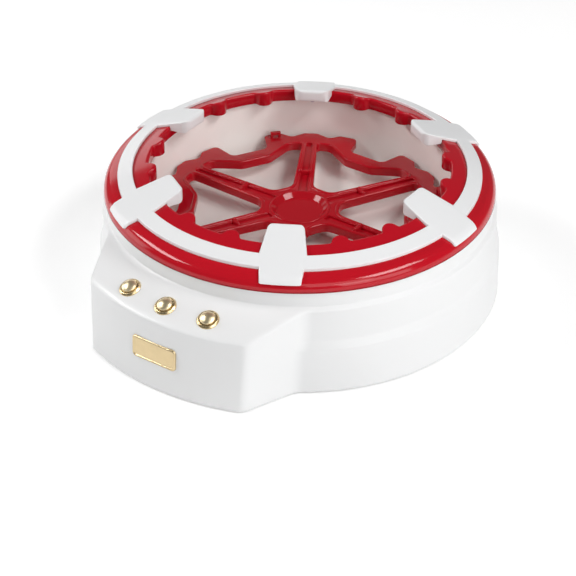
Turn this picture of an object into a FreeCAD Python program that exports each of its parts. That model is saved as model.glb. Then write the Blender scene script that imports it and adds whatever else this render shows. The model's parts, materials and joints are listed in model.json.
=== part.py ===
# Spin art machine: a round housing with a control console at its front, a catch bowl with a six-spoke
# spinning wheel in it, and a red and white rim that carries six lamp arms over the bowl.
# Millimetres. +Z is up, the front faces -Y, and the origin is under the middle of the footprint.
# Heights are measured from the floor and radii from the spindle, unless a comment says otherwise.

import FreeCAD
import Part
import math
import os

from FreeCAD import Vector

os.makedirs("parts", exist_ok=True)

# Drum of the housing: radii as steps inward from its foot, heights as steps up from the floor
drum_foot_radius = 130.4
drum_draft = 0.9
ledge_step = 2.4
waist_draft = 0.5
shoulder_step = 2.2
spigot_step = 1.8
rim_seat_width = 7.6
housing_bottom = 1.5
ledge_height = 31.0
ledge_rise = 5.5
shoulder_height = 57.2
shoulder_rise = 2.6
neck_length = 10.1
spigot_length = 2.1
ledge_fillet = 3.0
waist_fillet = 4.0
shoulder_fillet = 2.0
neck_fillet = 1.2
housing_wall = 2.4

# Console
console_reach = 24.2
console_draft = 2.6
console_edge_height = 49.5
console_slope = 0.36
console_half_width = 58.2
console_splay = 22.6
console_root_depth = 24.0
console_corner_fillet = 8.0
console_edge_fillet = 3.0

# Base plate, feet and case screws
plate_gap = 0.3
plate_bottom = 2.5
plate_thickness = 2.2
foot_radius = 7.0
foot_margin = 22.4
foot_angles = (52, 128, 232, 308)
column_radius = 4.0
column_sink = 0.5
column_angles = (38, 142, 218, 322)
screw_radius = 1.4
screw_hole_gap = 0.3
screw_head_radius = 3.0
screw_head_height = 0.9
case_screw_length = 12.0

# Rim: a bezel that stands on the housing's neck, and a deck that rises inward from it
bezel_overhang = 0.6
bezel_height = 5.46
bezel_wall = 2.0
bezel_corner_fillet = 4.0
bezel_edge_fillet = 0.8
bezel_width = 8.7
bezel_lap = 4.1
deck_slope = 0.36

# White light ring with its six lamp arms
arm_count = 6
first_arm_angle = -60.7
band_width = 9.9
band_thickness = 1.7
band_gap = 0.15
band_edge_fillet = 0.5
arm_reach = 8.0
arm_rise = 7.2
arm_drop = 2.9
arm_end_half_width = 11.5
arm_root_half_width = 15.2
arm_band_half_width = 14.6
claw_half_width = 13.3
claw_overhang = 2.5
claw_lap_angle = 47.0
arm_end_fillet = 4.0
arm_brow_fillet = 2.0
claw_fillet = 1.5
arm_wall = 1.7
arm_ring_gap = 0.5

# Scalloped inner ring
ring_seam = 0.4
ring_width = 10.4
ring_wall = 1.8
ring_lip_wall = 1.7
ring_lip_depth = 8.5
scallop_depth = 5.0
scallop_tip_fillet = 5.5
scallop_root_fillet = 2.0
scallop_offset_angle = 10.0

# Lamps under the arms
led_board_thickness = 1.6
led_board_gap = 0.15
led_radius = 3.2
led_length = 3.9
led_stem_radius = 2.2
led_stem_gap = 0.1
led_stem_end = 0.4

# Catch bowl
bowl_wall = 2.0
bowl_floor_height = 35.5
bowl_rim_overhang = 3.5
bowl_draft = 1.8
bowl_corner_fillet = 10.0
bowl_rim_gap = 0.1
flange_gap = 1.3
flange_thickness = 2.0
collar_cone_radius = 14.0
collar_cone_fillet = 4.0
collar_root_fillet = 1.0
collar_radius = 7.5
collar_height = 6.5
collar_depth = 2.1

# Spinning wheel
spoke_count = 6
wheel_lift = 11.0
wheel_gap = 2.2
wheel_height = 4.0
wheel_skin = 2.2
wheel_wall = 1.8
wheel_edge_fillet = 3.0
dip_depth = 17.5
dip_angle = 9.3
lobe_start_angle = 10.4
lobe_end_angle = 18.4
valley_depth = 6.0
valley_angle = 22.0
spoke_lobe_angle = 26.4
rail_height = 2.0
rim_width = 15.2
dip_band_width = 13.2
window_hub_gap = 5.9
window_hub_fillet = 3.5
window_step_angle = 20.5
window_step_fillet = 5.0
window_dip_angle = 8.5
window_dip_fillet = 6.0
spoke_hub_half_width = 6.3
spoke_rim_half_width = 4.9
spoke_corner_fillet = 2.0
window_margin = 0.4
lug_circle = 44.5
lug_length = 3.2
lug_height = 3.4
clip_angles = (45, 135, 225, 315)
clip_margin = 3.0
clip_size = 6.0
clip_height = 5.0
clip_slot_bottom = 1.0
clip_slot_height = 2.0
clip_slot_depth = 4.0
hub_lip_radius = 19.6
hub_lip_width = 1.6
hub_floor_radius = 13.2
hub_dish_depth = 3.0
hub_edge_fillet = 0.7
hub_floor_thickness = 2.0
hub_boss_radius = 8.5
hub_boss_drop = 3.2
hub_root_fillet = 1.0
skirt_inner_radius = 15.0
skirt_wall = 1.6
skirt_drop = 7.0

# Spindle and its bearings
spindle_radius = 3.0
spindle_floor = 3.0
spindle_roof = 1.4
running_gap = 0.05
seat_gap = 0.02
end_gap = 0.3
bush_radius = 5.0
boss_radius = 6.5
boss_height = 10.0
snap_ring_radius = 4.6
snap_ring_thickness = 0.5
snap_ring_gap = 0.2

# Gear pair
gear_module = 1.0
gear_teeth = 48
pinion_teeth = 12
gear_thickness = 4.4
gear_hub_radius = 7.0
gear_rim_width = 3.0
gear_web_thickness = 2.0
pinion_overhang = 0.3
pressure_angle = 20.0
tooth_backlash = 0.25
tooth_root_land = 0.2
tooth_dedendum = 1.25

# Motor and its plate
motor_radius = 12.2
motor_height = 18.0
motor_boss_radius = 3.1
motor_boss_height = 1.0
motor_shaft_radius = 1.0
motor_shaft_depth = 13.0
motor_plate_thickness = 1.2
motor_plate_gap = 0.8
motor_plate_half_length = 23.0
motor_plate_half_width = 8.0
motor_plate_fillet = 7.0
motor_post_offset = 19.0
motor_post_radius = 3.5
motor_seat_wall = 1.8
motor_seat_height = 3.0
motor_screw_radius = 1.0
motor_screw_head_radius = 2.4
motor_screw_length = 8.0

# Battery bay with its row of cells, and its door
bay_y = 61.0
cell_radius = 7.05
cell_length = 49.3
cell_nub_radius = 2.7
cell_nub_length = 1.2
cell_count = 4
cell_spacing = 0.7
cell_gap = 0.25
contact_thickness = 0.4
contact_gap = 0.2
bay_wall = 1.6
bay_roof = 1.4
door_thickness = 1.2
door_lap = 2.0
door_gap = 0.25
door_seat_gap = 0.05
door_fillet = 2.0
door_tab_length = 7.0
door_tab_half_width = 8.0
door_boss_radius = 3.5
door_boss_height = 8.0

# Push buttons in the console's slope; their heights are measured from the slope
button_margin = 11.7
button_spacing_angle = 12.1
button_names = ("left", "middle", "right")
button_ring_width = 1.7
button_ring_height = 1.2
button_ring_chamfer = 0.6
button_radius = 5.0
button_gap = 0.4
button_crown = 2.1
button_shoulder = 1.9
button_travel = 1.5
button_flange_width = 1.6
button_flange_thickness = 1.2
button_stem_radius = 1.5
switch_stem_gap = 0.3
switch_entry = 0.8
switch_size = 6.4
switch_height = 3.5
switch_board_half_length = 13.2
switch_board_half_width = 6.5
board_thickness = 1.6
board_post_radius = 2.4
board_post_offset = 10.4
board_screw_radius = 0.9
board_screw_head_radius = 1.9
board_screw_head_height = 1.1
board_screw_length = 6.0

# Control board under the console
control_board_margin = 36.6
control_board_half_length = 31.0
control_board_half_width = 14.0
control_post_height = 5.0
control_post_radius = 2.5
control_post_margin = 3.5
chip_length = 10.0
chip_width = 7.0
chip_height = 2.2

# Front plate on the console's wall
front_plate_width = 32.5
front_plate_height = 14.7
front_plate_centre = 27.0
front_plate_thickness = 0.9
front_plate_border = 1.2
front_plate_border_height = 0.5
front_plate_fillet = 2.5

# Lamp ribbon on the bowl's flange
ribbon_gap = 3.0
ribbon_width = 5.0
ribbon_thickness = 1.2

# How far a cut runs past the face that it opens
over = 1.0

# Radii of the housing, the rim and the bowl
ledge_radius = drum_foot_radius - drum_draft
waist_radius = ledge_radius - ledge_step
shoulder_radius = waist_radius - waist_draft
neck_radius = shoulder_radius - shoulder_step
spigot_radius = neck_radius - spigot_step
rim_seat_radius = spigot_radius - rim_seat_width
column_circle = neck_radius - housing_wall - column_radius + column_sink
console_foot_radius = drum_foot_radius + console_reach
console_top_radius = console_foot_radius - console_draft
console_corner_y = math.sqrt(console_foot_radius ** 2 - console_half_width ** 2)
console_root_radius = neck_radius - console_root_depth
foot_circle = drum_foot_radius - foot_margin
bezel_radius = neck_radius + bezel_overhang
band_outer_radius = bezel_radius - bezel_width
band_inner_radius = band_outer_radius - band_width
bezel_inner_radius = band_outer_radius - bezel_lap
ring_outer_radius = bezel_inner_radius - ring_seam
lip_radius = band_inner_radius - ring_width
arm_end_radius = lip_radius - arm_reach
claw_end_radius = bezel_radius + claw_overhang
led_circle = arm_end_radius + arm_wall / 2 + led_radius
bowl_rim_radius = lip_radius + bowl_rim_overhang
bowl_floor_radius = bowl_rim_radius - bowl_draft
bowl_outer_radius = bowl_rim_radius + bowl_wall
flange_radius = spigot_radius - flange_gap
ribbon_inner_radius = bowl_outer_radius + ribbon_gap

# Heights of the housing, the bowl and the spindle's parts
plate_top = plate_bottom + plate_thickness
waist_height = ledge_height + ledge_rise
neck_height = shoulder_height + shoulder_rise
bezel_seat_height = neck_height + neck_length
rim_seat_height = bezel_seat_height + spigot_length
flange_top = rim_seat_height + flange_thickness
deck_stretch = math.hypot(1, deck_slope)
collar_top = bowl_floor_height + collar_height
collar_bottom = bowl_floor_height - bowl_wall - collar_depth
wheel_bottom = bowl_floor_height + wheel_lift
wheel_top = wheel_bottom + wheel_height
rail_top = wheel_top + rail_height
hub_floor_height = rail_top - hub_dish_depth
hub_underside = hub_floor_height - hub_floor_thickness
spindle_bottom = plate_top + spindle_floor + end_gap
spindle_top = hub_floor_height - spindle_roof - end_gap
snap_ring_top = collar_bottom - end_gap
snap_ring_bottom = snap_ring_top - snap_ring_thickness
gear_top = snap_ring_bottom - snap_ring_gap
gear_bottom = gear_top - gear_thickness
motor_plate_bottom = gear_bottom - motor_plate_gap - motor_plate_thickness
motor_plate_top = motor_plate_bottom + motor_plate_thickness
motor_bottom = motor_plate_bottom - motor_height
gear_distance = gear_module * (gear_teeth + pinion_teeth) / 2

# Sizes of the wheel's outline
lobe_radius = bowl_floor_radius - wheel_gap
valley_radius = lobe_radius - valley_depth
dip_radius = lobe_radius - dip_depth
window_outer_radius = lobe_radius - rim_width
window_dip_radius = dip_radius - dip_band_width
window_hub_radius = hub_lip_radius + window_hub_gap
clip_circle = lobe_radius - clip_margin
trough_end = window_outer_radius - window_margin

# Places of the cells, the boards and the buttons
cell_pitch = 2 * cell_radius + cell_spacing
cell_reach = (cell_length + cell_nub_length) / 2
cell_height = plate_bottom + door_thickness + cell_gap + cell_radius
bay_half_length = cell_reach + contact_gap + contact_thickness + contact_gap
bay_half_width = (cell_count - 1) * cell_pitch / 2 + cell_radius + cell_gap
bay_roof_bottom = cell_height + cell_radius + cell_gap
door_screw_y = bay_y + bay_half_width + door_lap + door_tab_length / 2
control_board_y = control_board_margin - console_foot_radius
control_board_bottom = plate_top + control_post_height
control_board_top = control_board_bottom + board_thickness
button_circle = console_top_radius - button_margin
button_hole_radius = button_radius + button_gap
button_ring_radius = button_hole_radius + button_ring_width
button_flange_radius = button_radius + button_flange_width
button_top = button_shoulder + button_crown
button_angles = [-90 + i * button_spacing_angle for i in (-1, 0, 1)]
button_flange_top = -housing_wall - end_gap
button_flange_bottom = button_flange_top - button_flange_thickness
switch_top = button_flange_bottom - button_travel - button_gap
switch_board_top = switch_top - switch_height
switch_board_bottom = switch_board_top - board_thickness
arm_angles = [first_arm_angle + i * 360 / arm_count for i in range(arm_count)]
footprint_shift = (console_foot_radius - drum_foot_radius) / 2

X = Vector(1, 0, 0)
Y = Vector(0, 1, 0)
Z = Vector(0, 0, 1)
ORIGIN = Vector(0, 0, 0)


# Shared geometry

def upright(a, b):
    return Vector(a, 0, b)


def flat(a, b):
    return Vector(a, b, 0)


def polar(radius, angle):
    turn = math.radians(angle)
    return radius * math.cos(turn), radius * math.sin(turn)


def rounded_wire(corners, to_space):
    # closed outline through corners (a, b, fillet radius), where each radius becomes a tangent arc
    edges = []
    joints = []
    for i, (a, b, radius) in enumerate(corners):
        here = Vector(a, b, 0)
        before = Vector(*corners[i - 1][:2], 0)
        after = Vector(*corners[(i + 1) % len(corners)][:2], 0)
        backward = (before - here).normalize()
        forward = (after - here).normalize()
        half = backward.getAngle(forward) / 2
        if radius:
            setback = radius / math.tan(half)
            inward = (backward + forward).normalize()
            middle = here + inward * (radius / math.sin(half) - radius)
            joints.append((here + backward * setback, middle, here + forward * setback))
        else:
            joints.append((here, None, here))
    for i, (start, middle, end) in enumerate(joints):
        last = joints[i - 1][2]
        if (start - last).Length > 1e-6:
            edges.append(Part.makeLine(to_space(last.x, last.y), to_space(start.x, start.y)))
        if middle is not None:
            points = [to_space(p.x, p.y) for p in (start, middle, end)]
            edges.append(Part.Arc(*points).toShape())
    return Part.Wire(Part.__sortEdges__(edges))


def turned(corners):
    # solid of revolution of an outline of (radius, height, fillet) corners
    return Part.Face(rounded_wire(corners, upright)).revolve(ORIGIN, Z, 360)


def slab(wire, bottom, top):
    # flat outline drawn at height 0, standing from bottom to top
    face = Part.Face(wire)
    face.translate(Z * bottom)
    return face.extrude(Z * (top - bottom))


def plan(corners):
    return rounded_wire(corners, flat)


def box(x_range, y_range, z_range):
    size = [end - start for start, end in (x_range, y_range, z_range)]
    return Part.makeBox(*size, Vector(x_range[0], y_range[0], z_range[0]))


def rod(radius, bottom, top, x=0, y=0):
    return Part.makeCylinder(radius, top - bottom, Vector(x, y, bottom))


def tube(outer, inner, bottom, top, x=0, y=0):
    return rod(outer, bottom, top, x, y).cut(rod(inner, bottom - over, top + over, x, y))


def spun(shape, angle):
    turned_copy = shape.copy()
    turned_copy.rotate(ORIGIN, Z, angle)
    return turned_copy


def joined(shapes):
    return shapes[0].multiFuse(shapes[1:]).removeSplitter()


def save(name, shape):
    placed = shape.copy()
    placed.translate(Y * footprint_shift)
    placed.exportStep("parts/" + name + ".step")
    solids = len(placed.Solids)
    print(f"{name}: {solids} solid, volume {placed.Volume:.0f}, valid {placed.isValid()}")


# Surfaces that several pieces share

def deck(radius, lift=0.0):
    # height of the rim's deck at a radius, raised square to the deck by lift
    rise = deck_slope * (bezel_radius - radius)
    return bezel_seat_height + bezel_height + rise + lift * deck_stretch


def slope(radius, lift=0.0):
    # height of the console's sloping top at a radius
    rise = console_slope * (console_top_radius - radius)
    return console_edge_height + rise + lift * math.hypot(1, console_slope)


def front_wall(height):
    # radius of the console's front wall at a height
    lean = (console_foot_radius - console_top_radius) / (console_edge_height - housing_bottom)
    return console_foot_radius - lean * (height - housing_bottom)


def drum_form(inset, bottom, top):
    # the drum's outer shape drawn in by an inset
    return turned([
        (0, bottom, 0),
        (drum_foot_radius - inset, bottom, 0),
        (ledge_radius - inset, ledge_height, ledge_fillet),
        (waist_radius - inset, waist_height, waist_fillet),
        (shoulder_radius - inset, shoulder_height - inset / 2, shoulder_fillet),
        (neck_radius - inset, neck_height - inset / 2, neck_fillet),
        (neck_radius - inset, top, 0),
        (0, top, 0),
    ])


def console_form(inset, bottom):
    # the console's outer shape drawn in by an inset: a sloping ring cut to the console's plan
    back = console_root_radius
    ring = turned([
        (back, bottom, 0),
        (front_wall(bottom) - inset, bottom, 0),
        (console_top_radius - inset, slope(console_top_radius - inset, -inset), 0),
        (back, slope(back, -inset), 0),
    ])
    splay = math.tan(math.radians(console_splay))
    side_inset = inset * math.hypot(1, splay)

    def half_width(y):
        return console_half_width + splay * (console_corner_y - y) - side_inset

    near = back - console_root_depth
    far = console_foot_radius + over
    sector = slab(plan([
        (half_width(near), -near, 0),
        (half_width(far), -far, 0),
        (-half_width(far), -far, 0),
        (-half_width(near), -near, 0),
    ]), bottom - over, slope(back) + over)
    return ring.common(sector)


def at_button(shape, angle):
    # moves a piece drawn about a button's own axis into place on the console's slope
    tilt = math.degrees(math.atan(console_slope))
    placed = shape.copy()
    placed.rotate(ORIGIN, Y, tilt)
    placed.translate(Vector(button_circle, 0, slope(button_circle)))
    placed.rotate(ORIGIN, Z, angle)
    return placed


ring_lip_bottom = deck(lip_radius) - ring_lip_depth
arm_bottom = deck(lip_radius) - arm_drop
arm_end_height = deck(lip_radius) + arm_rise


# Housing

def upper_housing():
    console = console_form(0, housing_bottom)

    def is_corner(edge):
        outside = all(math.hypot(v.X, v.Y) > drum_foot_radius for v in edge.Vertexes)
        return outside and edge.BoundBox.ZLength > console_edge_height / 2

    def is_brow(edge):
        point = edge.valueAt((edge.FirstParameter + edge.LastParameter) / 2)
        radius = math.hypot(point.x, point.y)
        return radius > console_root_radius + over and abs(point.z - slope(radius)) < seat_gap

    console = console.makeFillet(console_corner_fillet, [e for e in console.Edges if is_corner(e)])
    console = console.makeFillet(console_edge_fillet, [e for e in console.Edges if is_brow(e)])
    drum = drum_form(0, housing_bottom, bezel_seat_height)
    spigot = rod(spigot_radius, bezel_seat_height - over, rim_seat_height)
    outside = drum.fuse([console, spigot])
    drum_hollow = drum_form(housing_wall, housing_bottom - over, rim_seat_height - housing_wall)
    console_hollow = console_form(housing_wall, housing_bottom - over)
    rim_hole = rod(rim_seat_radius, housing_bottom, rim_seat_height + over)
    shell = outside.cut([drum_hollow, console_hollow, rim_hole])
    column = rod(column_radius, plate_top, rim_seat_height - housing_wall + column_sink, column_circle)
    column_bore = rod(screw_radius, plate_top - over, plate_top + case_screw_length, column_circle)
    post = rod(board_post_radius, switch_board_top, -housing_wall / 2)
    screw_hole = rod(board_screw_radius, switch_board_top - over, switch_board_top + board_screw_length)
    hole = rod(button_hole_radius, -housing_wall - over, over)
    extra = []
    holes = []
    for angle in column_angles:
        extra.append(spun(column, angle))
        holes.append(spun(column_bore, angle))
    for angle in button_angles:
        holes.append(at_button(hole, angle))
        for side in (-board_post_offset, board_post_offset):
            offset = Y * side
            extra.append(at_button(post.translated(offset), angle))
            holes.append(at_button(screw_hole.translated(offset), angle))
    return joined([shell] + extra).cut(holes)


def bay_box(grow, bottom, top):
    return box((-bay_half_length - grow, bay_half_length + grow),
               (bay_y - bay_half_width - grow, bay_y + bay_half_width + grow), (bottom, top))


def door_form(gap, bottom, top):
    # the door's outline with its screw tab, shrunk by a gap
    half_length = bay_half_length + door_lap - gap
    start = bay_y - bay_half_width - door_lap + gap
    end = bay_y + bay_half_width + door_lap - gap
    tab = door_tab_half_width - gap
    return slab(plan([
        (-half_length, start, door_fillet),
        (half_length, start, door_fillet),
        (half_length, end, door_fillet),
        (tab, end, 0),
        (tab, end + door_tab_length, door_fillet),
        (-tab, end + door_tab_length, door_fillet),
        (-tab, end, 0),
        (-half_length, end, door_fillet),
    ]), bottom, top)


def control_posts():
    x = control_board_half_length - control_post_margin
    y = control_board_half_width - control_post_margin
    return [(i * x, control_board_y + j * y) for i in (-1, 1) for j in (-1, 1)]


def base_plate():
    inset = housing_wall + plate_gap
    bottom = plate_bottom - over
    level = drum_form(inset, bottom, plate_top + over).fuse(console_form(inset, bottom))
    reach = console_foot_radius + over
    plate = level.common(box((-reach, reach), (-reach, reach), (plate_bottom, plate_top)))
    boss = rod(boss_radius, plate_top, plate_top + boss_height)
    motor_seat = rod(motor_radius + motor_seat_wall, plate_top, motor_bottom + motor_seat_height,
                     0, -gear_distance)
    bay = bay_box(bay_wall, plate_top, bay_roof_bottom + bay_roof)
    door_boss = rod(door_boss_radius, plate_top, plate_top + door_boss_height, 0, door_screw_y)
    solids = [plate, boss, motor_seat, bay, door_boss]
    holes = [
        rod(spindle_radius + running_gap, spindle_bottom - end_gap, plate_top + boss_height + over),
        rod(motor_radius + running_gap, motor_bottom, motor_bottom + motor_height, 0, -gear_distance),
        bay_box(0, plate_bottom - over, bay_roof_bottom),
        door_form(0, plate_bottom - over, plate_bottom + door_thickness),
        rod(screw_radius, plate_bottom - over, plate_bottom + door_boss_height + end_gap, 0, door_screw_y),
    ]
    for side in (-motor_post_offset, motor_post_offset):
        solids.append(rod(motor_post_radius, plate_top, motor_plate_bottom, side, -gear_distance))
        holes.append(rod(motor_screw_radius, motor_plate_bottom - motor_screw_length,
                         motor_plate_bottom + over, side, -gear_distance))
    for x, y in control_posts():
        solids.append(rod(control_post_radius, plate_top, control_board_bottom, x, y))
        holes.append(rod(board_screw_radius, plate_top, control_board_bottom + over, x, y))
    for angle in column_angles:
        holes.append(rod(screw_radius + screw_hole_gap, plate_bottom - over, plate_top + over,
                         *polar(column_circle, angle)))
    return joined(solids).cut(holes)


def battery_door():
    door = door_form(door_gap, plate_bottom, plate_bottom + door_thickness - door_seat_gap)
    return door.cut(rod(screw_radius + screw_hole_gap, 0, plate_top, 0, door_screw_y))


# Catch bowl with its flange and the collar that holds the spindle's bush

def catch_bowl():
    rim_top = deck(bowl_outer_radius, -ring_wall) - bowl_rim_gap
    under = bowl_floor_height - bowl_wall
    return turned([
        (bush_radius, collar_bottom, 0),
        (collar_radius, collar_bottom, 0),
        (collar_radius, under, collar_root_fillet),
        (bowl_floor_radius + bowl_wall, under, bowl_corner_fillet + bowl_wall),
        (bowl_outer_radius, rim_seat_height, 0),
        (flange_radius, rim_seat_height, 0),
        (flange_radius, flange_top, 0),
        (bowl_outer_radius, flange_top, 0),
        (bowl_outer_radius, rim_top, 0),
        (bowl_rim_radius, rim_top, 0),
        (bowl_rim_radius, flange_top, 0),
        (bowl_floor_radius, bowl_floor_height, bowl_corner_fillet),
        (collar_cone_radius, bowl_floor_height, collar_cone_fillet),
        (collar_radius, collar_top, 0),
        (bush_radius, collar_top, 0),
    ])


# Rim

def outer_bezel():
    inner = bezel_radius - bezel_wall
    return turned([
        (bezel_radius, bezel_seat_height, 0),
        (bezel_radius, deck(bezel_radius), bezel_corner_fillet),
        (bezel_inner_radius, deck(bezel_inner_radius), bezel_edge_fillet),
        (bezel_inner_radius, deck(bezel_inner_radius, -bezel_wall), 0),
        (inner, deck(inner, -bezel_wall), bezel_corner_fillet - bezel_wall),
        (inner, bezel_seat_height, 0),
    ])


def scallop_wire(grow):
    # the inner ring's hole: a circle with two rounded bumps inward between each pair of lamp arms
    base = lip_radius + grow
    tip_fillet = scallop_tip_fillet - grow
    root_fillet = scallop_root_fillet + grow
    tip_centre = lip_radius - scallop_depth + scallop_tip_fillet
    root_centre = lip_radius - scallop_root_fillet
    reach = tip_fillet + root_fillet
    cosine = (tip_centre ** 2 + root_centre ** 2 - reach ** 2) / (2 * tip_centre * root_centre)
    spread = math.degrees(math.acos(cosine))
    edges = []
    last = None
    first = None
    for arm in arm_angles:
        for bump in (-scallop_offset_angle, scallop_offset_angle):
            middle = arm + 180 / arm_count + bump
            tip = Vector(*polar(tip_centre, middle), 0)
            before = Vector(*polar(root_centre, middle - spread), 0)
            after = Vector(*polar(root_centre, middle + spread), 0)
            start = Vector(*polar(base, middle - spread), 0)
            end = Vector(*polar(base, middle + spread), 0)
            rise = before + (tip - before).normalize() * root_fillet
            fall = after + (tip - after).normalize() * root_fillet
            top = tip - Vector(*polar(tip_fillet, middle), 0)
            out_start = (start - before).normalize()
            out_end = (end - after).normalize()
            bend_in = before + (out_start + (rise - before).normalize()).normalize() * root_fillet
            bend_out = after + (out_end + (fall - after).normalize()).normalize() * root_fillet
            if last is not None:
                edges.append(base_arc(last[0], last[1], start, middle - spread, base))
            else:
                first = (start, middle - spread)
            edges.append(Part.Arc(start, bend_in, rise).toShape())
            edges.append(Part.Arc(rise, top, fall).toShape())
            edges.append(Part.Arc(fall, bend_out, end).toShape())
            last = (end, middle + spread)
    edges.append(base_arc(last[0], last[1], first[0], first[1] + 360, base))
    return Part.Wire(edges)


def base_arc(start, start_angle, end, end_angle, radius):
    middle = Vector(*polar(radius, (start_angle + end_angle) / 2), 0)
    return Part.Arc(start, middle, end).toShape()


def inner_ring():
    inside = lip_radius - scallop_depth - over
    ceiling = deck(inside) + over
    hole = slab(scallop_wire(0), ring_lip_bottom - over, ceiling)
    lip_outside = slab(scallop_wire(ring_lip_wall), ring_lip_bottom, ceiling)
    under_deck = turned([
        (inside, ring_lip_bottom - over, 0),
        (ring_outer_radius, ring_lip_bottom - over, 0),
        (ring_outer_radius, deck(ring_outer_radius), 0),
        (inside, deck(inside), 0),
    ])
    flange = turned([
        (inside, deck(inside, -ring_wall), 0),
        (ring_outer_radius, deck(ring_outer_radius, -ring_wall), 0),
        (ring_outer_radius, deck(ring_outer_radius), 0),
        (inside, deck(inside), 0),
    ])
    lip = lip_outside.common(under_deck)
    return flange.fuse(lip).cut(hole).removeSplitter()


def arm_plan(grow, end_fillet):
    # one lamp arm seen from above, along +X
    return plan([
        (arm_end_radius - grow, -arm_end_half_width - grow, end_fillet),
        (band_inner_radius, -arm_root_half_width - grow, 0),
        (band_outer_radius, -arm_band_half_width - grow, 0),
        (claw_end_radius, -claw_half_width - grow, claw_fillet),
        (claw_end_radius, claw_half_width + grow, claw_fillet),
        (band_outer_radius, arm_band_half_width + grow, 0),
        (band_inner_radius, arm_root_half_width + grow, 0),
        (arm_end_radius - grow, arm_end_half_width + grow, end_fillet),
    ])


def light_ring():
    top = band_gap + band_thickness
    hang = lip_radius - arm_ring_gap
    outer = bezel_radius + top
    inner = bezel_radius + band_gap
    corner = bezel_radius - bezel_corner_fillet
    corner_height = deck(corner, -bezel_corner_fillet)
    low = bezel_seat_height
    arm_section = turned([
        (arm_end_radius, arm_bottom, 0),
        (hang, arm_bottom, 0),
        (hang, deck(hang, band_gap), 0),
        (inner, deck(inner, band_gap), bezel_corner_fillet + band_gap),
        (inner, low, 0),
        (outer, low, 0),
        (outer, deck(outer, top), bezel_corner_fillet + top),
        (band_inner_radius, deck(band_inner_radius, top), 0),
        (arm_end_radius, arm_end_height, arm_brow_fillet),
    ])
    reach = 2 * (bezel_corner_fillet + top)
    lap = polar(reach, 90 - claw_lap_angle)
    below_claw = turned([
        (corner, corner_height, 0),
        (corner + lap[0], corner_height + lap[1], 0),
        (corner + reach, low - over, 0),
        (corner, low - over, 0),
    ])
    outline = slab(arm_plan(0, arm_end_fillet), low - over, arm_end_height + over)
    arm = arm_section.common(outline).cut(below_claw)
    roof = deck(band_inner_radius, band_gap)
    rise = (arm_end_height - deck(band_inner_radius, top)) / (band_inner_radius - arm_end_radius)
    lamp_space = turned([
        (arm_end_radius + arm_wall, arm_bottom - over, 0),
        (band_inner_radius, arm_bottom - over, 0),
        (band_inner_radius, roof, 0),
        (arm_end_radius + arm_wall, roof + rise * (band_inner_radius - arm_end_radius - arm_wall), 0),
    ])
    inside = slab(arm_plan(-arm_wall, arm_end_fillet - arm_wall), arm_bottom - over, arm_end_height)
    pocket = lamp_space.common(inside)
    band = turned([
        (band_inner_radius, deck(band_inner_radius, band_gap), 0),
        (band_outer_radius, deck(band_outer_radius, band_gap), 0),
        (band_outer_radius, deck(band_outer_radius, top), band_edge_fillet),
        (band_inner_radius, deck(band_inner_radius, top), band_edge_fillet),
    ])
    hollow_arm = arm.cut(pocket)
    return joined([band] + [spun(hollow_arm, angle) for angle in arm_angles])


def led_board():
    # closes the lamp arm from below; drawn along +X
    inner = arm_end_radius + arm_wall + led_board_gap
    outer = lip_radius - arm_ring_gap
    ring = tube(outer, inner, arm_bottom, arm_bottom + led_board_thickness)
    grow = -arm_wall - led_board_gap
    board = ring.common(slab(arm_plan(grow, arm_end_fillet + grow), arm_bottom - over, arm_end_height))
    return board.cut(rod(led_stem_radius + led_stem_gap, 0, arm_end_height, led_circle))


def uv_led():
    # domed lamp with its stem through the board; drawn along +X
    centre = arm_bottom - led_length + led_radius
    ball = Part.makeSphere(led_radius, Vector(led_circle, 0, centre))
    dome = ball.common(rod(led_radius + over, centre - led_radius - over, centre, led_circle))
    collar = rod(led_radius, centre, arm_bottom, led_circle)
    stem = rod(led_stem_radius, arm_bottom, arm_bottom + led_board_thickness + led_stem_end, led_circle)
    return joined([dome, collar, stem])


def lamp_harness():
    # flat ribbon that lies round the bowl's flange
    bottom = flange_top + seat_gap
    outer = ribbon_inner_radius + ribbon_width
    return tube(outer, ribbon_inner_radius, bottom, bottom + ribbon_thickness)


# Spinning wheel

def wheel_wire():
    # one sixth of the edge, from mid window to mid window: a dip, a lobe, a valley and the spoke's lobe
    half = 180 / spoke_count
    corners = []
    for i in range(spoke_count):
        middle = half * (2 * i + 1)
        side = [
            (dip_radius, dip_angle, wheel_edge_fillet),
            (lobe_radius, lobe_start_angle, wheel_edge_fillet),
            (lobe_radius, lobe_end_angle, wheel_edge_fillet),
            (valley_radius, valley_angle, wheel_edge_fillet),
            (lobe_radius, spoke_lobe_angle, wheel_edge_fillet),
        ]
        for radius, angle, fillet in reversed(side):
            corners.append((*polar(radius, middle - angle), fillet))
        for radius, angle, fillet in side:
            corners.append((*polar(radius, middle + angle), fillet))
    return plan(corners)


def window_wire():
    # the opening between two spokes, drawn about +X
    half = 180 / spoke_count

    def beside_spoke(radius, half_width):
        return half - math.degrees(math.asin(half_width / radius))

    side = [
        (window_hub_radius, beside_spoke(window_hub_radius, spoke_hub_half_width), window_hub_fillet),
        (window_outer_radius, beside_spoke(window_outer_radius, spoke_rim_half_width), spoke_corner_fillet),
        (window_outer_radius, window_step_angle, window_step_fillet),
        (window_dip_radius, window_dip_angle, window_dip_fillet),
    ]
    corners = [(*polar(radius, -angle), fillet) for radius, angle, fillet in side]
    corners += [(*polar(radius, angle), fillet) for radius, angle, fillet in reversed(side)]
    return plan(corners)


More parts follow.
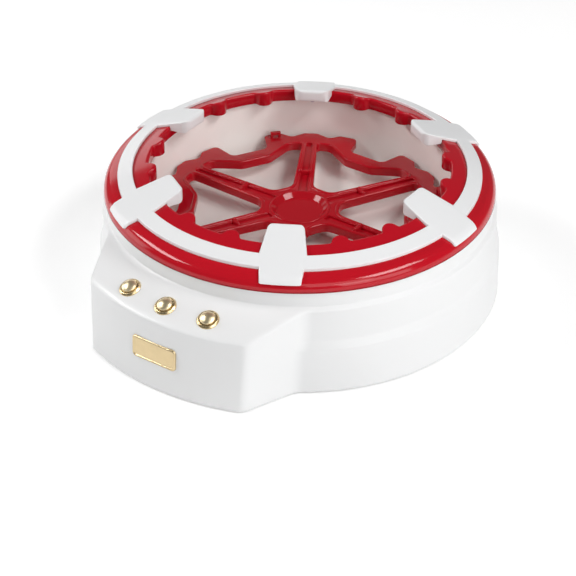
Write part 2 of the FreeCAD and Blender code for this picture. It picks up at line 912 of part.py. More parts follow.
def spinner_wheel():
    edge = wheel_wire()
    window = window_wire()
    turns = [(i + 0.5) * 360 / spoke_count for i in range(spoke_count)]
    disc = slab(edge, wheel_bottom, wheel_top)
    around_window = window.makeOffset2D(wheel_wall)
    rail = slab(around_window, wheel_top, rail_top)
    wall = slab(around_window, wheel_bottom - over, wheel_top)
    opening = slab(window, wheel_bottom - over, rail_top + over)
    inside = slab(edge.makeOffset2D(-wheel_wall), wheel_bottom - over, wheel_top - wheel_skin)
    pocket = inside.cut([spun(wall, turn) for turn in turns])
    trough = tube(spoke_rim_half_width, spoke_rim_half_width - wheel_wall, wheel_top, rail_top, trough_end)
    far_half = box((trough_end, lobe_radius), (-lobe_radius, lobe_radius), (wheel_bottom, rail_top))
    trough = trough.common(far_half)
    lug = box((lug_circle - lug_length / 2, lug_circle + lug_length / 2),
              (-spoke_hub_half_width, spoke_hub_half_width), (wheel_top, wheel_top + lug_height))
    hub = turned([
        (0, wheel_bottom - hub_boss_drop, 0),
        (hub_boss_radius, wheel_bottom - hub_boss_drop, 0),
        (hub_boss_radius, hub_underside, hub_root_fillet),
        (skirt_inner_radius, hub_underside, hub_root_fillet),
        (skirt_inner_radius, wheel_bottom - skirt_drop, 0),
        (skirt_inner_radius + skirt_wall, wheel_bottom - skirt_drop, 0),
        (skirt_inner_radius + skirt_wall, wheel_top - wheel_skin, 0),
        (hub_lip_radius, wheel_top - wheel_skin, 0),
        (hub_lip_radius, rail_top, hub_edge_fillet),
        (hub_lip_radius - hub_lip_width, rail_top, hub_edge_fillet),
        (hub_floor_radius, hub_floor_height, hub_edge_fillet),
        (0, hub_floor_height, 0),
    ])
    near = clip_circle - clip_size / 2
    clip = box((near, near + clip_size), (-clip_size / 2, clip_size / 2),
               (wheel_top, wheel_top + clip_height))
    slot_bottom = wheel_top + clip_slot_bottom
    slot = box((near - over, near + clip_slot_depth), (-clip_size, clip_size),
               (slot_bottom, slot_bottom + clip_slot_height))
    wheel = joined([disc] + [spun(rail, turn) for turn in turns])
    wheel = wheel.cut([pocket] + [spun(opening, turn) for turn in turns])
    wheel = wheel.cut(rod(hub_lip_radius, wheel_bottom - over, rail_top + over))
    extra = [hub]
    for i in range(spoke_count):
        extra += [spun(lug, i * 360 / spoke_count), spun(trough, i * 360 / spoke_count)]
    extra += [spun(clip.cut(slot), angle) for angle in clip_angles]
    bore = rod(spindle_radius + seat_gap, wheel_bottom - hub_boss_drop - over, spindle_top + end_gap)
    return joined([wheel] + extra).cut(bore)


def spindle_shaft():
    return rod(spindle_radius, spindle_bottom, spindle_top)


def spindle_bush():
    return tube(bush_radius - seat_gap, spindle_radius + running_gap, collar_bottom, collar_top)


def snap_ring():
    return tube(snap_ring_radius, spindle_radius + seat_gap, snap_ring_bottom, snap_ring_top)


# Gear pair with involute teeth

def gear_wire(teeth):
    pitch = gear_module * teeth / 2
    base = pitch * math.cos(math.radians(pressure_angle))
    root = pitch - tooth_dedendum * gear_module
    tip = pitch + gear_module
    half_tooth = math.pi / (2 * teeth) - tooth_backlash / (2 * pitch)

    def roll(radius):
        # angle between the start of an involute and its point at a radius
        if radius <= base:
            return 0.0
        spread = math.acos(base / radius)
        return math.tan(spread) - spread

    heights = [root, max(root + tooth_root_land, base), (pitch + tip) / 2, tip]
    points = []
    for i in range(teeth):
        middle = 2 * math.pi * i / teeth
        flank = [(r, half_tooth + roll(pitch) - roll(r)) for r in heights]
        side = [(r, middle - a) for r, a in flank] + [(r, middle + a) for r, a in reversed(flank)]
        points += [Vector(r * math.cos(a), r * math.sin(a), 0) for r, a in side]
    return Part.makePolygon(points + points[:1])


def spindle_gear():
    blank = slab(gear_wire(gear_teeth), gear_bottom, gear_top)
    rim = gear_module * (gear_teeth / 2 - tooth_dedendum) - gear_rim_width
    groove = tube(rim, gear_hub_radius, gear_bottom + gear_web_thickness, gear_top + over)
    return blank.cut([groove, rod(spindle_radius + seat_gap, gear_bottom - over, gear_top + over)])


def motor_pinion():
    bottom = gear_bottom - pinion_overhang
    top = gear_top + pinion_overhang
    pinion = slab(gear_wire(pinion_teeth), bottom, top)
    # a gap of the pinion faces the tooth of the gear that lies on the line of centres
    pinion = spun(pinion, 90 + 180 / pinion_teeth)
    pinion.translate(Y * -gear_distance)
    return pinion.cut(rod(motor_shaft_radius + seat_gap, bottom - over, top + over, 0, -gear_distance))


# Motor

def motor_can():
    boss_top = motor_plate_bottom + motor_boss_height
    can = turned([
        (0, motor_bottom, 0),
        (motor_radius, motor_bottom, 0),
        (motor_radius, motor_plate_bottom, 0),
        (motor_boss_radius, motor_plate_bottom, 0),
        (motor_boss_radius, boss_top, 0),
        (0, boss_top, 0),
    ])
    bore_bottom = motor_plate_bottom - motor_shaft_depth - end_gap
    can = can.cut(rod(motor_shaft_radius + running_gap, bore_bottom, boss_top + over))
    can.translate(Y * -gear_distance)
    return can


def motor_shaft():
    top = gear_top + 2 * pinion_overhang
    return rod(motor_shaft_radius, motor_plate_bottom - motor_shaft_depth, top, 0, -gear_distance)


def motor_plate():
    corners = [(i * motor_plate_half_length, j * motor_plate_half_width, motor_plate_fillet)
               for i, j in ((-1, -1), (1, -1), (1, 1), (-1, 1))]
    strip = slab(plan(corners), motor_plate_bottom, motor_plate_top)
    below = motor_plate_bottom - over
    above = motor_plate_top + over
    holes = [rod(motor_boss_radius + screw_hole_gap, below, above)]
    for side in (-motor_post_offset, motor_post_offset):
        holes.append(rod(motor_screw_radius + screw_hole_gap, below, above, side))
    strip = strip.cut(holes)
    strip.translate(Y * -gear_distance)
    return strip


# Power

def battery_cell(index):
    body = Part.makeCylinder(cell_radius, cell_length, ORIGIN, X)
    nub = Part.makeCylinder(cell_nub_radius, cell_nub_length, Vector(cell_length, 0, 0), X)
    cell = body.fuse(nub)
    cell.translate(X * -cell_reach)
    if index % 2:
        cell.rotate(ORIGIN, Z, 180)
    offset = (index - (cell_count - 1) / 2) * cell_pitch
    cell.translate(Vector(0, bay_y + offset, cell_height))
    return cell


def contact_strip(side):
    near = cell_reach + contact_gap
    x_range = sorted((side * near, side * (near + contact_thickness)))
    width = bay_half_width - cell_gap
    return box(x_range, (bay_y - width, bay_y + width), (plate_top, bay_roof_bottom))


def control_board():
    board = box((-control_board_half_length, control_board_half_length),
                (control_board_y - control_board_half_width, control_board_y + control_board_half_width),
                (control_board_bottom, control_board_top))
    board = board.cut([rod(board_screw_radius + screw_hole_gap, control_board_bottom - over,
                           control_board_top + over, x, y) for x, y in control_posts()])
    chip = box((-chip_length / 2, chip_length / 2),
               (control_board_y - chip_width / 2, control_board_y + chip_width / 2),
               (control_board_top, control_board_top + chip_height))
    return board.fuse(chip)


# Push buttons, drawn about their own axis with the slope at height 0

def button_ring():
    return turned([
        (button_hole_radius, 0, 0),
        (button_ring_radius, 0, 0),
        (button_ring_radius, button_ring_height - button_ring_chamfer, 0),
        (button_ring_radius - button_ring_chamfer, button_ring_height, 0),
        (button_hole_radius, button_ring_height, 0),
    ])


def button_cap():
    stem_end = switch_top - switch_entry
    ball = (button_radius ** 2 + button_crown ** 2) / (2 * button_crown)
    middle = button_radius / 2
    fall = ball - math.sqrt(ball ** 2 - middle ** 2)
    crown = Part.Arc(upright(0, button_top), upright(middle, button_top - fall),
                     upright(button_radius, button_shoulder)).toShape()
    corners = [
        (button_radius, button_shoulder),
        (button_radius, button_flange_top),
        (button_flange_radius, button_flange_top),
        (button_flange_radius, button_flange_bottom),
        (button_stem_radius, button_flange_bottom),
        (button_stem_radius, stem_end),
        (0, stem_end),
        (0, button_top),
    ]
    sides = [Part.makeLine(upright(*a), upright(*b)) for a, b in zip(corners, corners[1:])]
    return Part.Face(Part.Wire([crown] + sides)).revolve(ORIGIN, Z, 360)


def button_switch():
    half = switch_size / 2
    body = box((-half, half), (-half, half), (switch_board_top, switch_top))
    well = switch_top - switch_entry - button_travel - end_gap
    return body.cut(rod(button_stem_radius + switch_stem_gap, well, switch_top + over))


def switch_board():
    board = box((-switch_board_half_width, switch_board_half_width),
                (-switch_board_half_length, switch_board_half_length),
                (switch_board_bottom, switch_board_top))
    hole = rod(board_screw_radius + screw_hole_gap, switch_board_bottom - over, switch_board_top + over)
    return board.cut([hole.translated(Y * side) for side in (-board_post_offset, board_post_offset)])


# Front plate: a bordered plate that follows the curve of the console's wall

def front_plate():
    bottom = front_plate_centre - front_plate_height / 2
    top = front_plate_centre + front_plate_height / 2
    border_top = front_plate_thickness + front_plate_border_height

    def layer(near, far, margin):
        ring = turned([
            (front_wall(bottom) + near, bottom, 0),
            (front_wall(bottom) + far, bottom, 0),
            (front_wall(top) + far, top, 0),
            (front_wall(top) + near, top, 0),
        ])
        half = front_plate_width / 2 - margin
        fillet = front_plate_fillet - margin
        outline = rounded_wire([
            (-half, bottom + margin, fillet),
            (half, bottom + margin, fillet),
            (half, top - margin, fillet),
            (-half, top - margin, fillet),
        ], upright)
        prism = Part.Face(outline).extrude(Y * (-console_foot_radius - border_top - over))
        return ring.common(prism)

    return layer(0, border_top, 0).cut(layer(front_plate_thickness, border_top + over, front_plate_border))


# Screws

def screw(shank_radius, length, head_radius, head_height, x=0, y=0, seat=0.0, up=True):
    # pan-head screw whose head lies against seat; its shank points up or down
    if up:
        shank = rod(shank_radius, seat, seat + length, x, y)
        return shank.fuse(rod(head_radius, seat - head_height, seat, x, y))
    shank = rod(shank_radius, seat - length, seat, x, y)
    return shank.fuse(rod(head_radius, seat, seat + head_height, x, y))


def case_screws():
    return Part.makeCompound([
        screw(screw_radius - seat_gap, case_screw_length, screw_head_radius, screw_head_height,
              *polar(column_circle, angle), plate_bottom)
        for angle in column_angles])


def motor_screws():
    return Part.makeCompound([
        screw(motor_screw_radius - seat_gap, motor_screw_length - end_gap, motor_screw_head_radius,
              screw_head_height, side, -gear_distance, motor_plate_top, up=False)
        for side in (-motor_post_offset, motor_post_offset)])


def door_screw():
    return screw(screw_radius - seat_gap, door_boss_height, screw_head_radius, screw_head_height,
                 0, door_screw_y, plate_bottom)


def board_screws():
    shank = board_screw_radius - seat_gap
    one = screw(shank, board_screw_length, board_screw_head_radius, board_screw_head_height,
                0, 0, switch_board_bottom)
    group = [at_button(one.translated(Y * side), angle)
             for angle in button_angles for side in (-board_post_offset, board_post_offset)]
    group += [screw(shank, control_post_height, board_screw_head_radius, board_screw_head_height,
                    x, y, control_board_top, up=False) for x, y in control_posts()]
    return Part.makeCompound(group)


# Every piece to its own file

save("upper_housing", upper_housing())
save("base_plate", base_plate())
save("battery_door", battery_door())
save("catch_bowl", catch_bowl())
save("outer_bezel", outer_bezel())
save("inner_ring", inner_ring())
save("light_ring", light_ring())
save("lamp_harness", lamp_harness())
save("spinner_wheel", spinner_wheel())
save("spindle_shaft", spindle_shaft())
save("spindle_bush", spindle_bush())
save("snap_ring", snap_ring())
save("spindle_gear", spindle_gear())
save("motor_pinion", motor_pinion())
save("motor_can", motor_can())
save("motor_shaft", motor_shaft())
save("motor_plate", motor_plate())
save("control_board", control_board())
save("front_plate", front_plate())
save("case_screws", case_screws())
save("motor_screws", motor_screws())
save("door_screw", door_screw())
save("board_screws", board_screws())

for number, angle in enumerate(arm_angles, 1):
    save(f"led_board_{number}", spun(led_board(), angle))
    save(f"uv_led_{number}", spun(uv_led(), angle))

for name, angle in zip(button_names, button_angles):
    save(f"button_ring_{name}", at_button(button_ring(), angle))
    save(f"button_cap_{name}", at_button(button_cap(), angle))
    save(f"button_switch_{name}", at_button(button_switch(), angle))
    save(f"switch_board_{name}", at_button(switch_board(), angle))

for index in range(cell_count):
    save(f"battery_cell_{index + 1}", battery_cell(index))

for side, name in ((-1, "left"), (1, "right")):
    save(f"contact_strip_{name}", contact_strip(side))

for number, angle in enumerate(foot_angles, 1):
    save(f"foot_{number}", rod(foot_radius, 0, plate_bottom, *polar(foot_circle, angle)))
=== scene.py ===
# Spin art machine: camera, light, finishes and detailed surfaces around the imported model.
# Shape code works in millimetres about the spindle; place() turns them into metres in the shared frame.
import json
import math

import bmesh
import bpy
import numpy as np
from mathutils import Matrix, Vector


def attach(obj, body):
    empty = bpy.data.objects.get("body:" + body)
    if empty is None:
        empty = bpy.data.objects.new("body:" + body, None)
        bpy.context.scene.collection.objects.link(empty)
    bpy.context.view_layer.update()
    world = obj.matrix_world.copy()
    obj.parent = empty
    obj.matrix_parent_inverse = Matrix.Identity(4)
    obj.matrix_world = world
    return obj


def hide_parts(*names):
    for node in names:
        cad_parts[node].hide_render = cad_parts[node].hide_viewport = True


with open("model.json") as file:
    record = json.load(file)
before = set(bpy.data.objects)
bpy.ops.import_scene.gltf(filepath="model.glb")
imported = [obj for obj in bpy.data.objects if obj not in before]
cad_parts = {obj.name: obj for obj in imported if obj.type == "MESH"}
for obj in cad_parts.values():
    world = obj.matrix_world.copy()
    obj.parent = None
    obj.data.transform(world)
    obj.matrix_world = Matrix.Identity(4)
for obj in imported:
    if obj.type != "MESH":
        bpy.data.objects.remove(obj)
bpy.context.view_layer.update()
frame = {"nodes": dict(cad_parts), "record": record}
nodes = frame["nodes"]
print("model loaded:", len(nodes), "nodes")

metresPerMm = 0.001
spindlePlace = np.array([0.0, 12.1, 0.0])   # the spindle stands behind the middle of the footprint


# Camera and light

view = {
    "place": (0.60118, -0.85937, 0.70682),
    "aim": (0.00748, -0.01171, 0.00492),
    "lens": 120.57,
    "sensor": 36.0,
}

camera = bpy.data.objects.new("camera", bpy.data.cameras.new("camera"))
bpy.context.scene.collection.objects.link(camera)
camera.location = view["place"]
aimLine = Vector(view["aim"]) - Vector(view["place"])
camera.rotation_mode = "QUATERNION"
camera.rotation_quaternion = aimLine.to_track_quat("-Z", "Y")
camera.data.lens = view["lens"]
camera.data.sensor_width = view["sensor"]
camera.data.clip_start = 0.05
camera.data.clip_end = 50
bpy.context.scene.camera = camera
bpy.context.scene.view_settings.view_transform = "Standard"

studio = {
    "lamps": [   # name, azimuth, elevation and distance from the middle of the object, width, height, watts
        ("softboxRight", 10, 52, 1.5, 0.70, 0.38, 8.6),
        ("softboxLeft", -152, 42, 1.5, 0.85, 0.32, 9.4),
        ("fillRight", -14, 20, 2.0, 1.4, 0.9, 10.0),
        ("fillLeft", -165, 12, 2.0, 1.4, 0.9, 8.0),
        ("fillFront", -34, 34, 2.0, 1.2, 1.0, 6.4),
        ("panelRear", 140, 16, 2.0, 1.2, 0.6, 3.0),
    ],
    "world": 0.15,
    "floorSize": 14.0,
    "floorTones": (0.90, 0.93),
    "floorLift": 0.28,   # how far the floor's own shade is raised toward white in views and reflections
}


def aroundObject(azimuth, elevation, distance):
    flat = distance * math.cos(math.radians(elevation))
    return Vector((flat * math.cos(math.radians(azimuth)), flat * math.sin(math.radians(azimuth)),
                   distance * math.sin(math.radians(elevation))))


for lampName, azimuth, elevation, distance, lampWidth, lampHeight, lampPower in studio["lamps"]:
    light = bpy.data.lights.new(lampName, "AREA")
    light.shape = "RECTANGLE"
    light.size, light.size_y, light.energy = lampWidth, lampHeight, lampPower
    lamp = bpy.data.objects.new(lampName, light)
    bpy.context.scene.collection.objects.link(lamp)
    lamp.location = aroundObject(azimuth, elevation, distance)
    lamp.rotation_mode = "QUATERNION"
    lamp.rotation_quaternion = (-lamp.location).to_track_quat("-Z", "Y")


# Finishes

class Wire:
    # a shader socket; arithmetic on wires and numbers adds Math nodes to the tree

    def __init__(self, recipe, socket):
        self.recipe, self.socket = recipe, socket

    def math(self, operation, *values):
        return self.recipe.add("ShaderNodeMath", {"operation": operation}, dict(enumerate(values)))

    def __add__(self, other): return self.math("ADD", self, other)
    def __radd__(self, other): return self.math("ADD", other, self)
    def __sub__(self, other): return self.math("SUBTRACT", self, other)
    def __rsub__(self, other): return self.math("SUBTRACT", other, self)
    def __mul__(self, other): return self.math("MULTIPLY", self, other)
    def __rmul__(self, other): return self.math("MULTIPLY", other, self)


class Recipe:
    # one material's node tree; add() makes any node from its type, its settings and its sockets

    def __init__(self, name):
        self.material = bpy.data.materials.new(name)
        self.material.use_nodes = True
        self.tree = self.material.node_tree
        self.shader = self.tree.nodes["Principled BSDF"]

    def add(self, kind, settings=None, sockets=None, output=0):
        node = self.tree.nodes.new(kind)
        for key, value in (settings or {}).items():
            setattr(node, key, value)
        for key, value in (sockets or {}).items():
            self.feed(node.inputs[key], value)
        return Wire(self, node.outputs[output])

    def feed(self, socket, value):
        if isinstance(value, Wire):
            self.tree.links.new(value.socket, socket)
        else:
            socket.default_value = value

    def finish(self, **inputs):
        for name, value in inputs.items():
            self.feed(self.shader.inputs[name.replace("_", " ")], value)
        return self.material

    def spot(self, stretch=(1, 1, 1)):
        # where a point is on the piece, in metres, stretched along the axes if asked
        place = self.add("ShaderNodeTexCoord", output=3)
        return self.add("ShaderNodeMapping", None, {"Vector": place, "Scale": stretch})

    def noise(self, scale, detail=2.0, stretch=(1, 1, 1)):
        sockets = {"Vector": self.spot(stretch), "Scale": scale, "Detail": detail}
        return self.add("ShaderNodeTexNoise", None, sockets)

    def blend(self, factor, first, second):
        # colour from first to second as the factor goes from 0 to 1
        return self.add("ShaderNodeMix", {"data_type": "RGBA"}, {0: factor, 6: first, 7: second}, output=2)

    def bump(self, height, distance, strength):
        sockets = {"Height": height, "Distance": distance, "Strength": strength}
        return self.add("ShaderNodeBump", None, sockets)


def colour(r, g, b):
    return (r, g, b, 1.0)


def shade(tone, share):
    # a tone made lighter or darker by a share
    return colour(*(min(1.0, c * share) for c in tone[:3]))


# coat is the share of clear gloss on top, shine the strength of the mirror at the plastic itself
plasticFinish = {
    "housingWhite": dict(tone=colour(0.85, 0.853, 0.855), rough=0.36, grain=900, depth=0.00003, coat=0.10),
    "bowlWhite": dict(tone=colour(0.955, 0.94, 0.90), rough=0.40, grain=700, depth=0.00002, coat=0.10),
    "ringWhite": dict(tone=colour(0.87, 0.873, 0.88), rough=0.32, grain=700, depth=0.00002, coat=0.15),
    "baseWhite": dict(tone=colour(0.78, 0.78, 0.77), rough=0.50, grain=1400, depth=0.00006, coat=0.0),
    "bezelRed": dict(tone=colour(0.52, 0.004, 0.014), rough=0.11, grain=160, depth=0.00002, coat=0.08,
                     shine=0.36),
    "ringRed": dict(tone=colour(0.48, 0.004, 0.014), rough=0.13, grain=180, depth=0.00002, coat=0.06,
                     shine=0.30),
    "wheelRed": dict(tone=colour(0.44, 0.004, 0.012), rough=0.10, grain=200, depth=0.00002, coat=0.08,
                     shine=0.30),
    "boardGreen": dict(tone=colour(0.03, 0.20, 0.08), rough=0.42, grain=1200, depth=0.00004, coat=0.2),
    "boardWhite": dict(tone=colour(0.78, 0.78, 0.76), rough=0.45, grain=1200, depth=0.00003, coat=0.1),
    "nylon": dict(tone=colour(0.76, 0.74, 0.66), rough=0.45, grain=600, depth=0.00004, coat=0.0),
    "blackPlastic": dict(tone=colour(0.03, 0.03, 0.032), rough=0.45, grain=900, depth=0.00005, coat=0.0),
    "sleeve": dict(tone=colour(0.19, 0.20, 0.23), rough=0.28, grain=300, depth=0.00002, coat=0.3),
    "ribbon": dict(tone=colour(0.50, 0.51, 0.54), rough=0.50, grain=800, depth=0.00005, coat=0.0),
    "rubber": dict(tone=colour(0.08, 0.08, 0.08), rough=0.75, grain=1500, depth=0.00010, coat=0.0),
}


def plastic(name, tone, rough, grain, depth, coat, shine=0.5):
    # moulded plastic: slow drift of tone, fine grain in the gloss and in the surface, and handling haze
    recipe = Recipe(name)
    drift = recipe.noise(9.0, 3.0)
    haze = recipe.noise(46.0, 4.0)
    fine = recipe.noise(grain, 3.0)
    base = recipe.blend(drift, shade(tone, 0.965), shade(tone, 1.03))
    gloss = rough + (haze - 0.5) * 0.08 + (fine - 0.5) * 0.05
    return recipe.finish(Base_Color=base, Roughness=gloss, Specular_IOR_Level=shine, Coat_Weight=coat,
                         Coat_Roughness=0.06, Normal=recipe.bump(fine + haze * 2.0, depth, 0.35))


# scratch stretches the drawn lines along x, y and z; beaten is how many dimples lie in a metre
metalFinish = {
    "plateGold": dict(tone=colour(0.68, 0.54, 0.32), rough=0.30, scratch=(30, 30, 900),
        depth=0.00014, beaten=520),
    "ringGold": dict(tone=colour(0.84, 0.66, 0.38), rough=0.26, scratch=(500, 500, 500),
        depth=0.00003, beaten=0),
    "buttonGold": dict(tone=colour(0.96, 0.80, 0.52), rough=0.36, scratch=(500, 500, 500),
        depth=0.00009, beaten=900),
    "steel": dict(tone=colour(0.58, 0.58, 0.59), rough=0.30, scratch=(900, 60, 60),
        depth=0.00003, beaten=0),
    "bronze": dict(tone=colour(0.50, 0.32, 0.16), rough=0.42, scratch=(900, 900, 900),
        depth=0.00004, beaten=0),
    "brass": dict(tone=colour(0.74, 0.55, 0.24), rough=0.25, scratch=(60, 60, 900),
        depth=0.00003, beaten=0),
}


def metal(name, tone, rough, scratch, depth, beaten):
    # plated metal: drawn scratches along one way, slow tarnish, and beaten dimples where asked
    recipe = Recipe(name)
    tarnish = recipe.noise(120.0, 4.0)
    drawn = recipe.noise(1.0, 4.0, scratch)
    base = recipe.blend(tarnish, shade(tone, 0.86), shade(tone, 1.05))
    relief = drawn
    if beaten:
        sockets = {"Vector": recipe.spot(), "Scale": beaten}
        cells = recipe.add("ShaderNodeTexVoronoi", {"feature": "SMOOTH_F1"}, sockets)
        relief = drawn * 0.4 + cells * 1.6
    gloss = rough + (drawn - 0.5) * 0.12 + (tarnish - 0.5) * 0.10
    return recipe.finish(Base_Color=base, Metallic=1.0, Roughness=gloss,
                         Normal=recipe.bump(relief, depth, 0.5))


def lens():
    # violet lamp body: clear cast resin, its tone drifting in clouds between deep and pale
    recipe = Recipe("lampLens")
    cloud = recipe.noise(300.0, 3.0)
    base = recipe.blend(cloud, colour(0.34, 0.24, 0.60), colour(0.56, 0.46, 0.78))
    return recipe.finish(Base_Color=base, Roughness=0.10 + cloud * 0.06, Coat_Weight=0.8, Coat_Roughness=0.04,
                         Transmission_Weight=0.30, IOR=1.5, Normal=recipe.bump(cloud, 0.00002, 0.3))


finishes = {name: plastic(name, **values) for name, values in plasticFinish.items()}
finishes.update({name: metal(name, **values) for name, values in metalFinish.items()})
finishes["lens"] = lens()

slotFinish = {
    "white_housing": "housingWhite", "white_base": "baseWhite", "white_bowl": "bowlWhite",
    "white_ring": "ringWhite", "red_bezel": "bezelRed", "red_ring": "ringRed", "red_wheel": "wheelRed",
    "harness": "ribbon", "bronze": "bronze", "nylon": "nylon", "brass_pinion": "brass",
    "circuit_board": "boardGreen", "led_board": "boardWhite", "gold_plate": "plateGold",
    "gold_ring": "ringGold", "gold_button": "buttonGold", "lamp_lens": "lens", "steel": "steel",
    "black_plastic": "blackPlastic", "cell_sleeve": "sleeve", "rubber_foot": "rubber",
}

for part in frame["record"]["subparts"]:
    node = nodes[part["node"]]
    if not node.material_slots:
        node.data.materials.append(None)
    for holder in node.material_slots:
        holder.material = finishes[slotFinish[part["material_slot"]]]
print("finishes made:", len(finishes))


# Floor and surroundings

def floorMaterial():
    # pale paper with a trace of tone; views and reflections of it are raised toward white, its shadows stay
    recipe = Recipe("floorPaper")
    drift = recipe.noise(1.5, 2.0)
    low, high = (colour(tone, tone, tone) for tone in studio["floorTones"])
    cameraRay = recipe.add("ShaderNodeLightPath", output=0)
    glossyRay = recipe.add("ShaderNodeLightPath", output=3)
    clearRay = recipe.add("ShaderNodeLightPath", output=6)
    seen = (cameraRay + glossyRay + clearRay) * studio["floorLift"]
    return recipe.finish(Base_Color=recipe.blend(drift, low, high), Roughness=0.9, Emission_Strength=1.0,
                         Emission_Color=recipe.blend(seen, colour(0, 0, 0), colour(1, 1, 1)))


half = studio["floorSize"] / 2
floorMesh = bpy.data.meshes.new("floor")
floorCorners = [(-half, -half, 0), (half, -half, 0), (half, half, 0), (-half, half, 0)]
floorMesh.from_pydata(floorCorners, [], [(0, 1, 2, 3)])
floor = bpy.data.objects.new("floor", floorMesh)
bpy.context.scene.collection.objects.link(floor)
floorMesh.materials.append(floorMaterial())

world = bpy.data.worlds.new("studio")
world.use_nodes = True
bpy.context.scene.world = world
world.node_tree.nodes["Background"].inputs["Color"].default_value = colour(1, 1, 1)
world.node_tree.nodes["Background"].inputs["Strength"].default_value = studio["world"]
print("studio ready")


# Shape tools

def place(points):
    return (np.asarray(points, float) + spindlePlace) * metresPerMm


def gridFaces(rows, columns, closedRows, closedColumns):
    # quads between neighbouring points of a grid that wraps where it is closed
    i, j = np.meshgrid(np.arange(rows if closedRows else rows - 1),
                       np.arange(columns if closedColumns else columns - 1), indexing="ij")
    down, across = (i + 1) % rows, (j + 1) % columns
    corners = [i * columns + j, down * columns + j, down * columns + across, i * columns + across]
    return np.stack(corners, -1).reshape(-1, 4)


def piece(name, grids, body, slot, stands=(), closedRows=True, closedColumns=True, sharp=38):
    # one object of one or more point grids, welded, facing outwards, smooth but for its sharp edges
    points, faces, start = [], [], 0
    for grid in grids:
        rows, columns = grid.shape[:2]
        points.append(place(grid.reshape(-1, 3)))
        faces.append(gridFaces(rows, columns, closedRows, closedColumns) + start)
        start += rows * columns
    mesh = bpy.data.meshes.new(name)
    mesh.from_pydata(np.concatenate(points).tolist(), [], np.concatenate(faces).tolist())
    return dress(name, mesh, body, slot, stands, sharp)


def dress(name, mesh, body, slot, stands, sharp):
    work = bmesh.new()
    work.from_mesh(mesh)
    bmesh.ops.remove_doubles(work, verts=work.verts, dist=2e-6)
    bmesh.ops.dissolve_degenerate(work, edges=work.edges, dist=1e-7)
    bmesh.ops.recalc_face_normals(work, faces=work.faces)
    work.to_mesh(mesh)
    work.free()
    mesh.polygons.foreach_set("use_smooth", np.ones(len(mesh.polygons), bool))
    mesh.set_sharp_from_angle(angle=math.radians(sharp))
    mesh.materials.append(finishes[slotFinish[slot]])
    thing = bpy.data.objects.new(name, mesh)
    bpy.context.scene.collection.objects.link(thing)
    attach(thing, body)
    if stands:
        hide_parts(*stands)
    print("piece:", name, len(mesh.polygons), "faces")
    return thing


def joinMeshes(mesh, grids, closed):
    # adds point grids to a mesh as further shells; closed says for each whether its rows wrap
    work = bmesh.new()
    work.from_mesh(mesh)
    for grid, wraps in zip(grids, closed):
        extra = bpy.data.meshes.new("extra")
        faces = gridFaces(grid.shape[0], grid.shape[1], wraps[0], wraps[1])
        extra.from_pydata(place(grid.reshape(-1, 3)).tolist(), [], faces.tolist())
        work.from_mesh(extra)
        bpy.data.meshes.remove(extra)
    work.to_mesh(mesh)
    work.free()
    return mesh


def roundedOutline(corners, steps=8):
    # closed line through corners (a, b, radius), where a radius becomes an arc tangent to both sides
    runs = []
    count = len(corners)
    for k, (a, b, radius) in enumerate(corners):
        here = np.array([a, b], float)
        back = np.array(corners[k - 1][:2], float) - here
        ahead = np.array(corners[(k + 1) % count][:2], float) - here
        back /= np.linalg.norm(back)
        ahead /= np.linalg.norm(ahead)
        if radius <= 0:
            runs.append(here[None])
            continue
        halfAngle = math.acos(np.clip(back @ ahead, -1, 1)) / 2
        setback = radius / math.tan(halfAngle)
        middle = (back + ahead) / np.linalg.norm(back + ahead)
        centre = here + middle * radius / math.sin(halfAngle)
        first = here + back * setback - centre
        last = here + ahead * setback - centre
        begin = math.atan2(first[1], first[0])
        turn = (math.atan2(last[1], last[0]) - begin + math.pi) % (2 * math.pi) - math.pi
        angle = begin + turn * np.linspace(0, 1, steps + 1)
        arc = centre + radius * np.stack([np.cos(angle), np.sin(angle)], -1)
        guard = 0.12 * radius
        runs.append(np.concatenate([arc[:1] + back * guard, arc, arc[-1:] + ahead * guard]))
    return np.concatenate(runs)


def turned(profile, count=240):
    # a closed (radius, height) line carried once round the spindle
    angle = np.linspace(0, 2 * np.pi, count, endpoint=False)[:, None]
    radius, height = profile[None, :, 0], profile[None, :, 1]
    return np.stack([radius * np.cos(angle), radius * np.sin(angle), height + 0 * angle], -1)


def spun(grid, degrees):
    # the same grid turned about the spindle
    angle = math.radians(degrees)
    c, s = math.cos(angle), math.sin(angle)
    x, y, z = np.moveaxis(grid, -1, 0)
    return np.stack([x * c - y * s, x * s + y * c, z], -1)


def outward(line):
    # mitred normals of a closed line in the plane that runs anticlockwise
    ahead = np.roll(line, -1, 0) - line
    ahead /= np.linalg.norm(ahead, axis=1, keepdims=True)
    back = np.roll(ahead, 1, 0)
    normalA = np.stack([ahead[:, 1], -ahead[:, 0]], -1)
    normalB = np.stack([back[:, 1], -back[:, 0]], -1)
    total = normalA + normalB
    return total / (1 + np.sum(normalA * normalB, 1, keepdims=True))


def banked(line, section):
    # a closed section of (offset outward, height) carried along a closed line in the plane
    normal = outward(line)
    plan = line[:, None, :] + normal[:, None, :] * section[None, :, :1]
    height = np.broadcast_to(section[None, :, 1:], plan.shape[:2] + (1,))
    return np.concatenate([plan, height], -1)


def stacked(line, levels):
    # outlines of one closed line, each drawn in by an inset at its own height, closed to a point at both ends
    normal = outward(line)
    rings = [line - normal * inset for inset, _ in levels]
    heights = [height for _, height in levels]
    centre = np.repeat(line.mean(0)[None], len(line), 0)
    rings = [centre] + rings + [centre]
    heights = [heights[0]] + heights + [heights[-1]]
    plan = np.stack(rings)
    level = np.broadcast_to(np.array(heights)[:, None, None], plan.shape[:2] + (1,))
    return np.concatenate([plan, level], -1)


def smoothLow(a, b, width):
    # the lower of two values, eased into each other over a width
    near = np.clip(width - np.abs(a - b), 0, None) / width
    return np.minimum(a, b) - near * near * width / 4


def smoothHigh(a, b, width):
    return -smoothLow(-a, -b, width)


# Rim heights that several pieces share

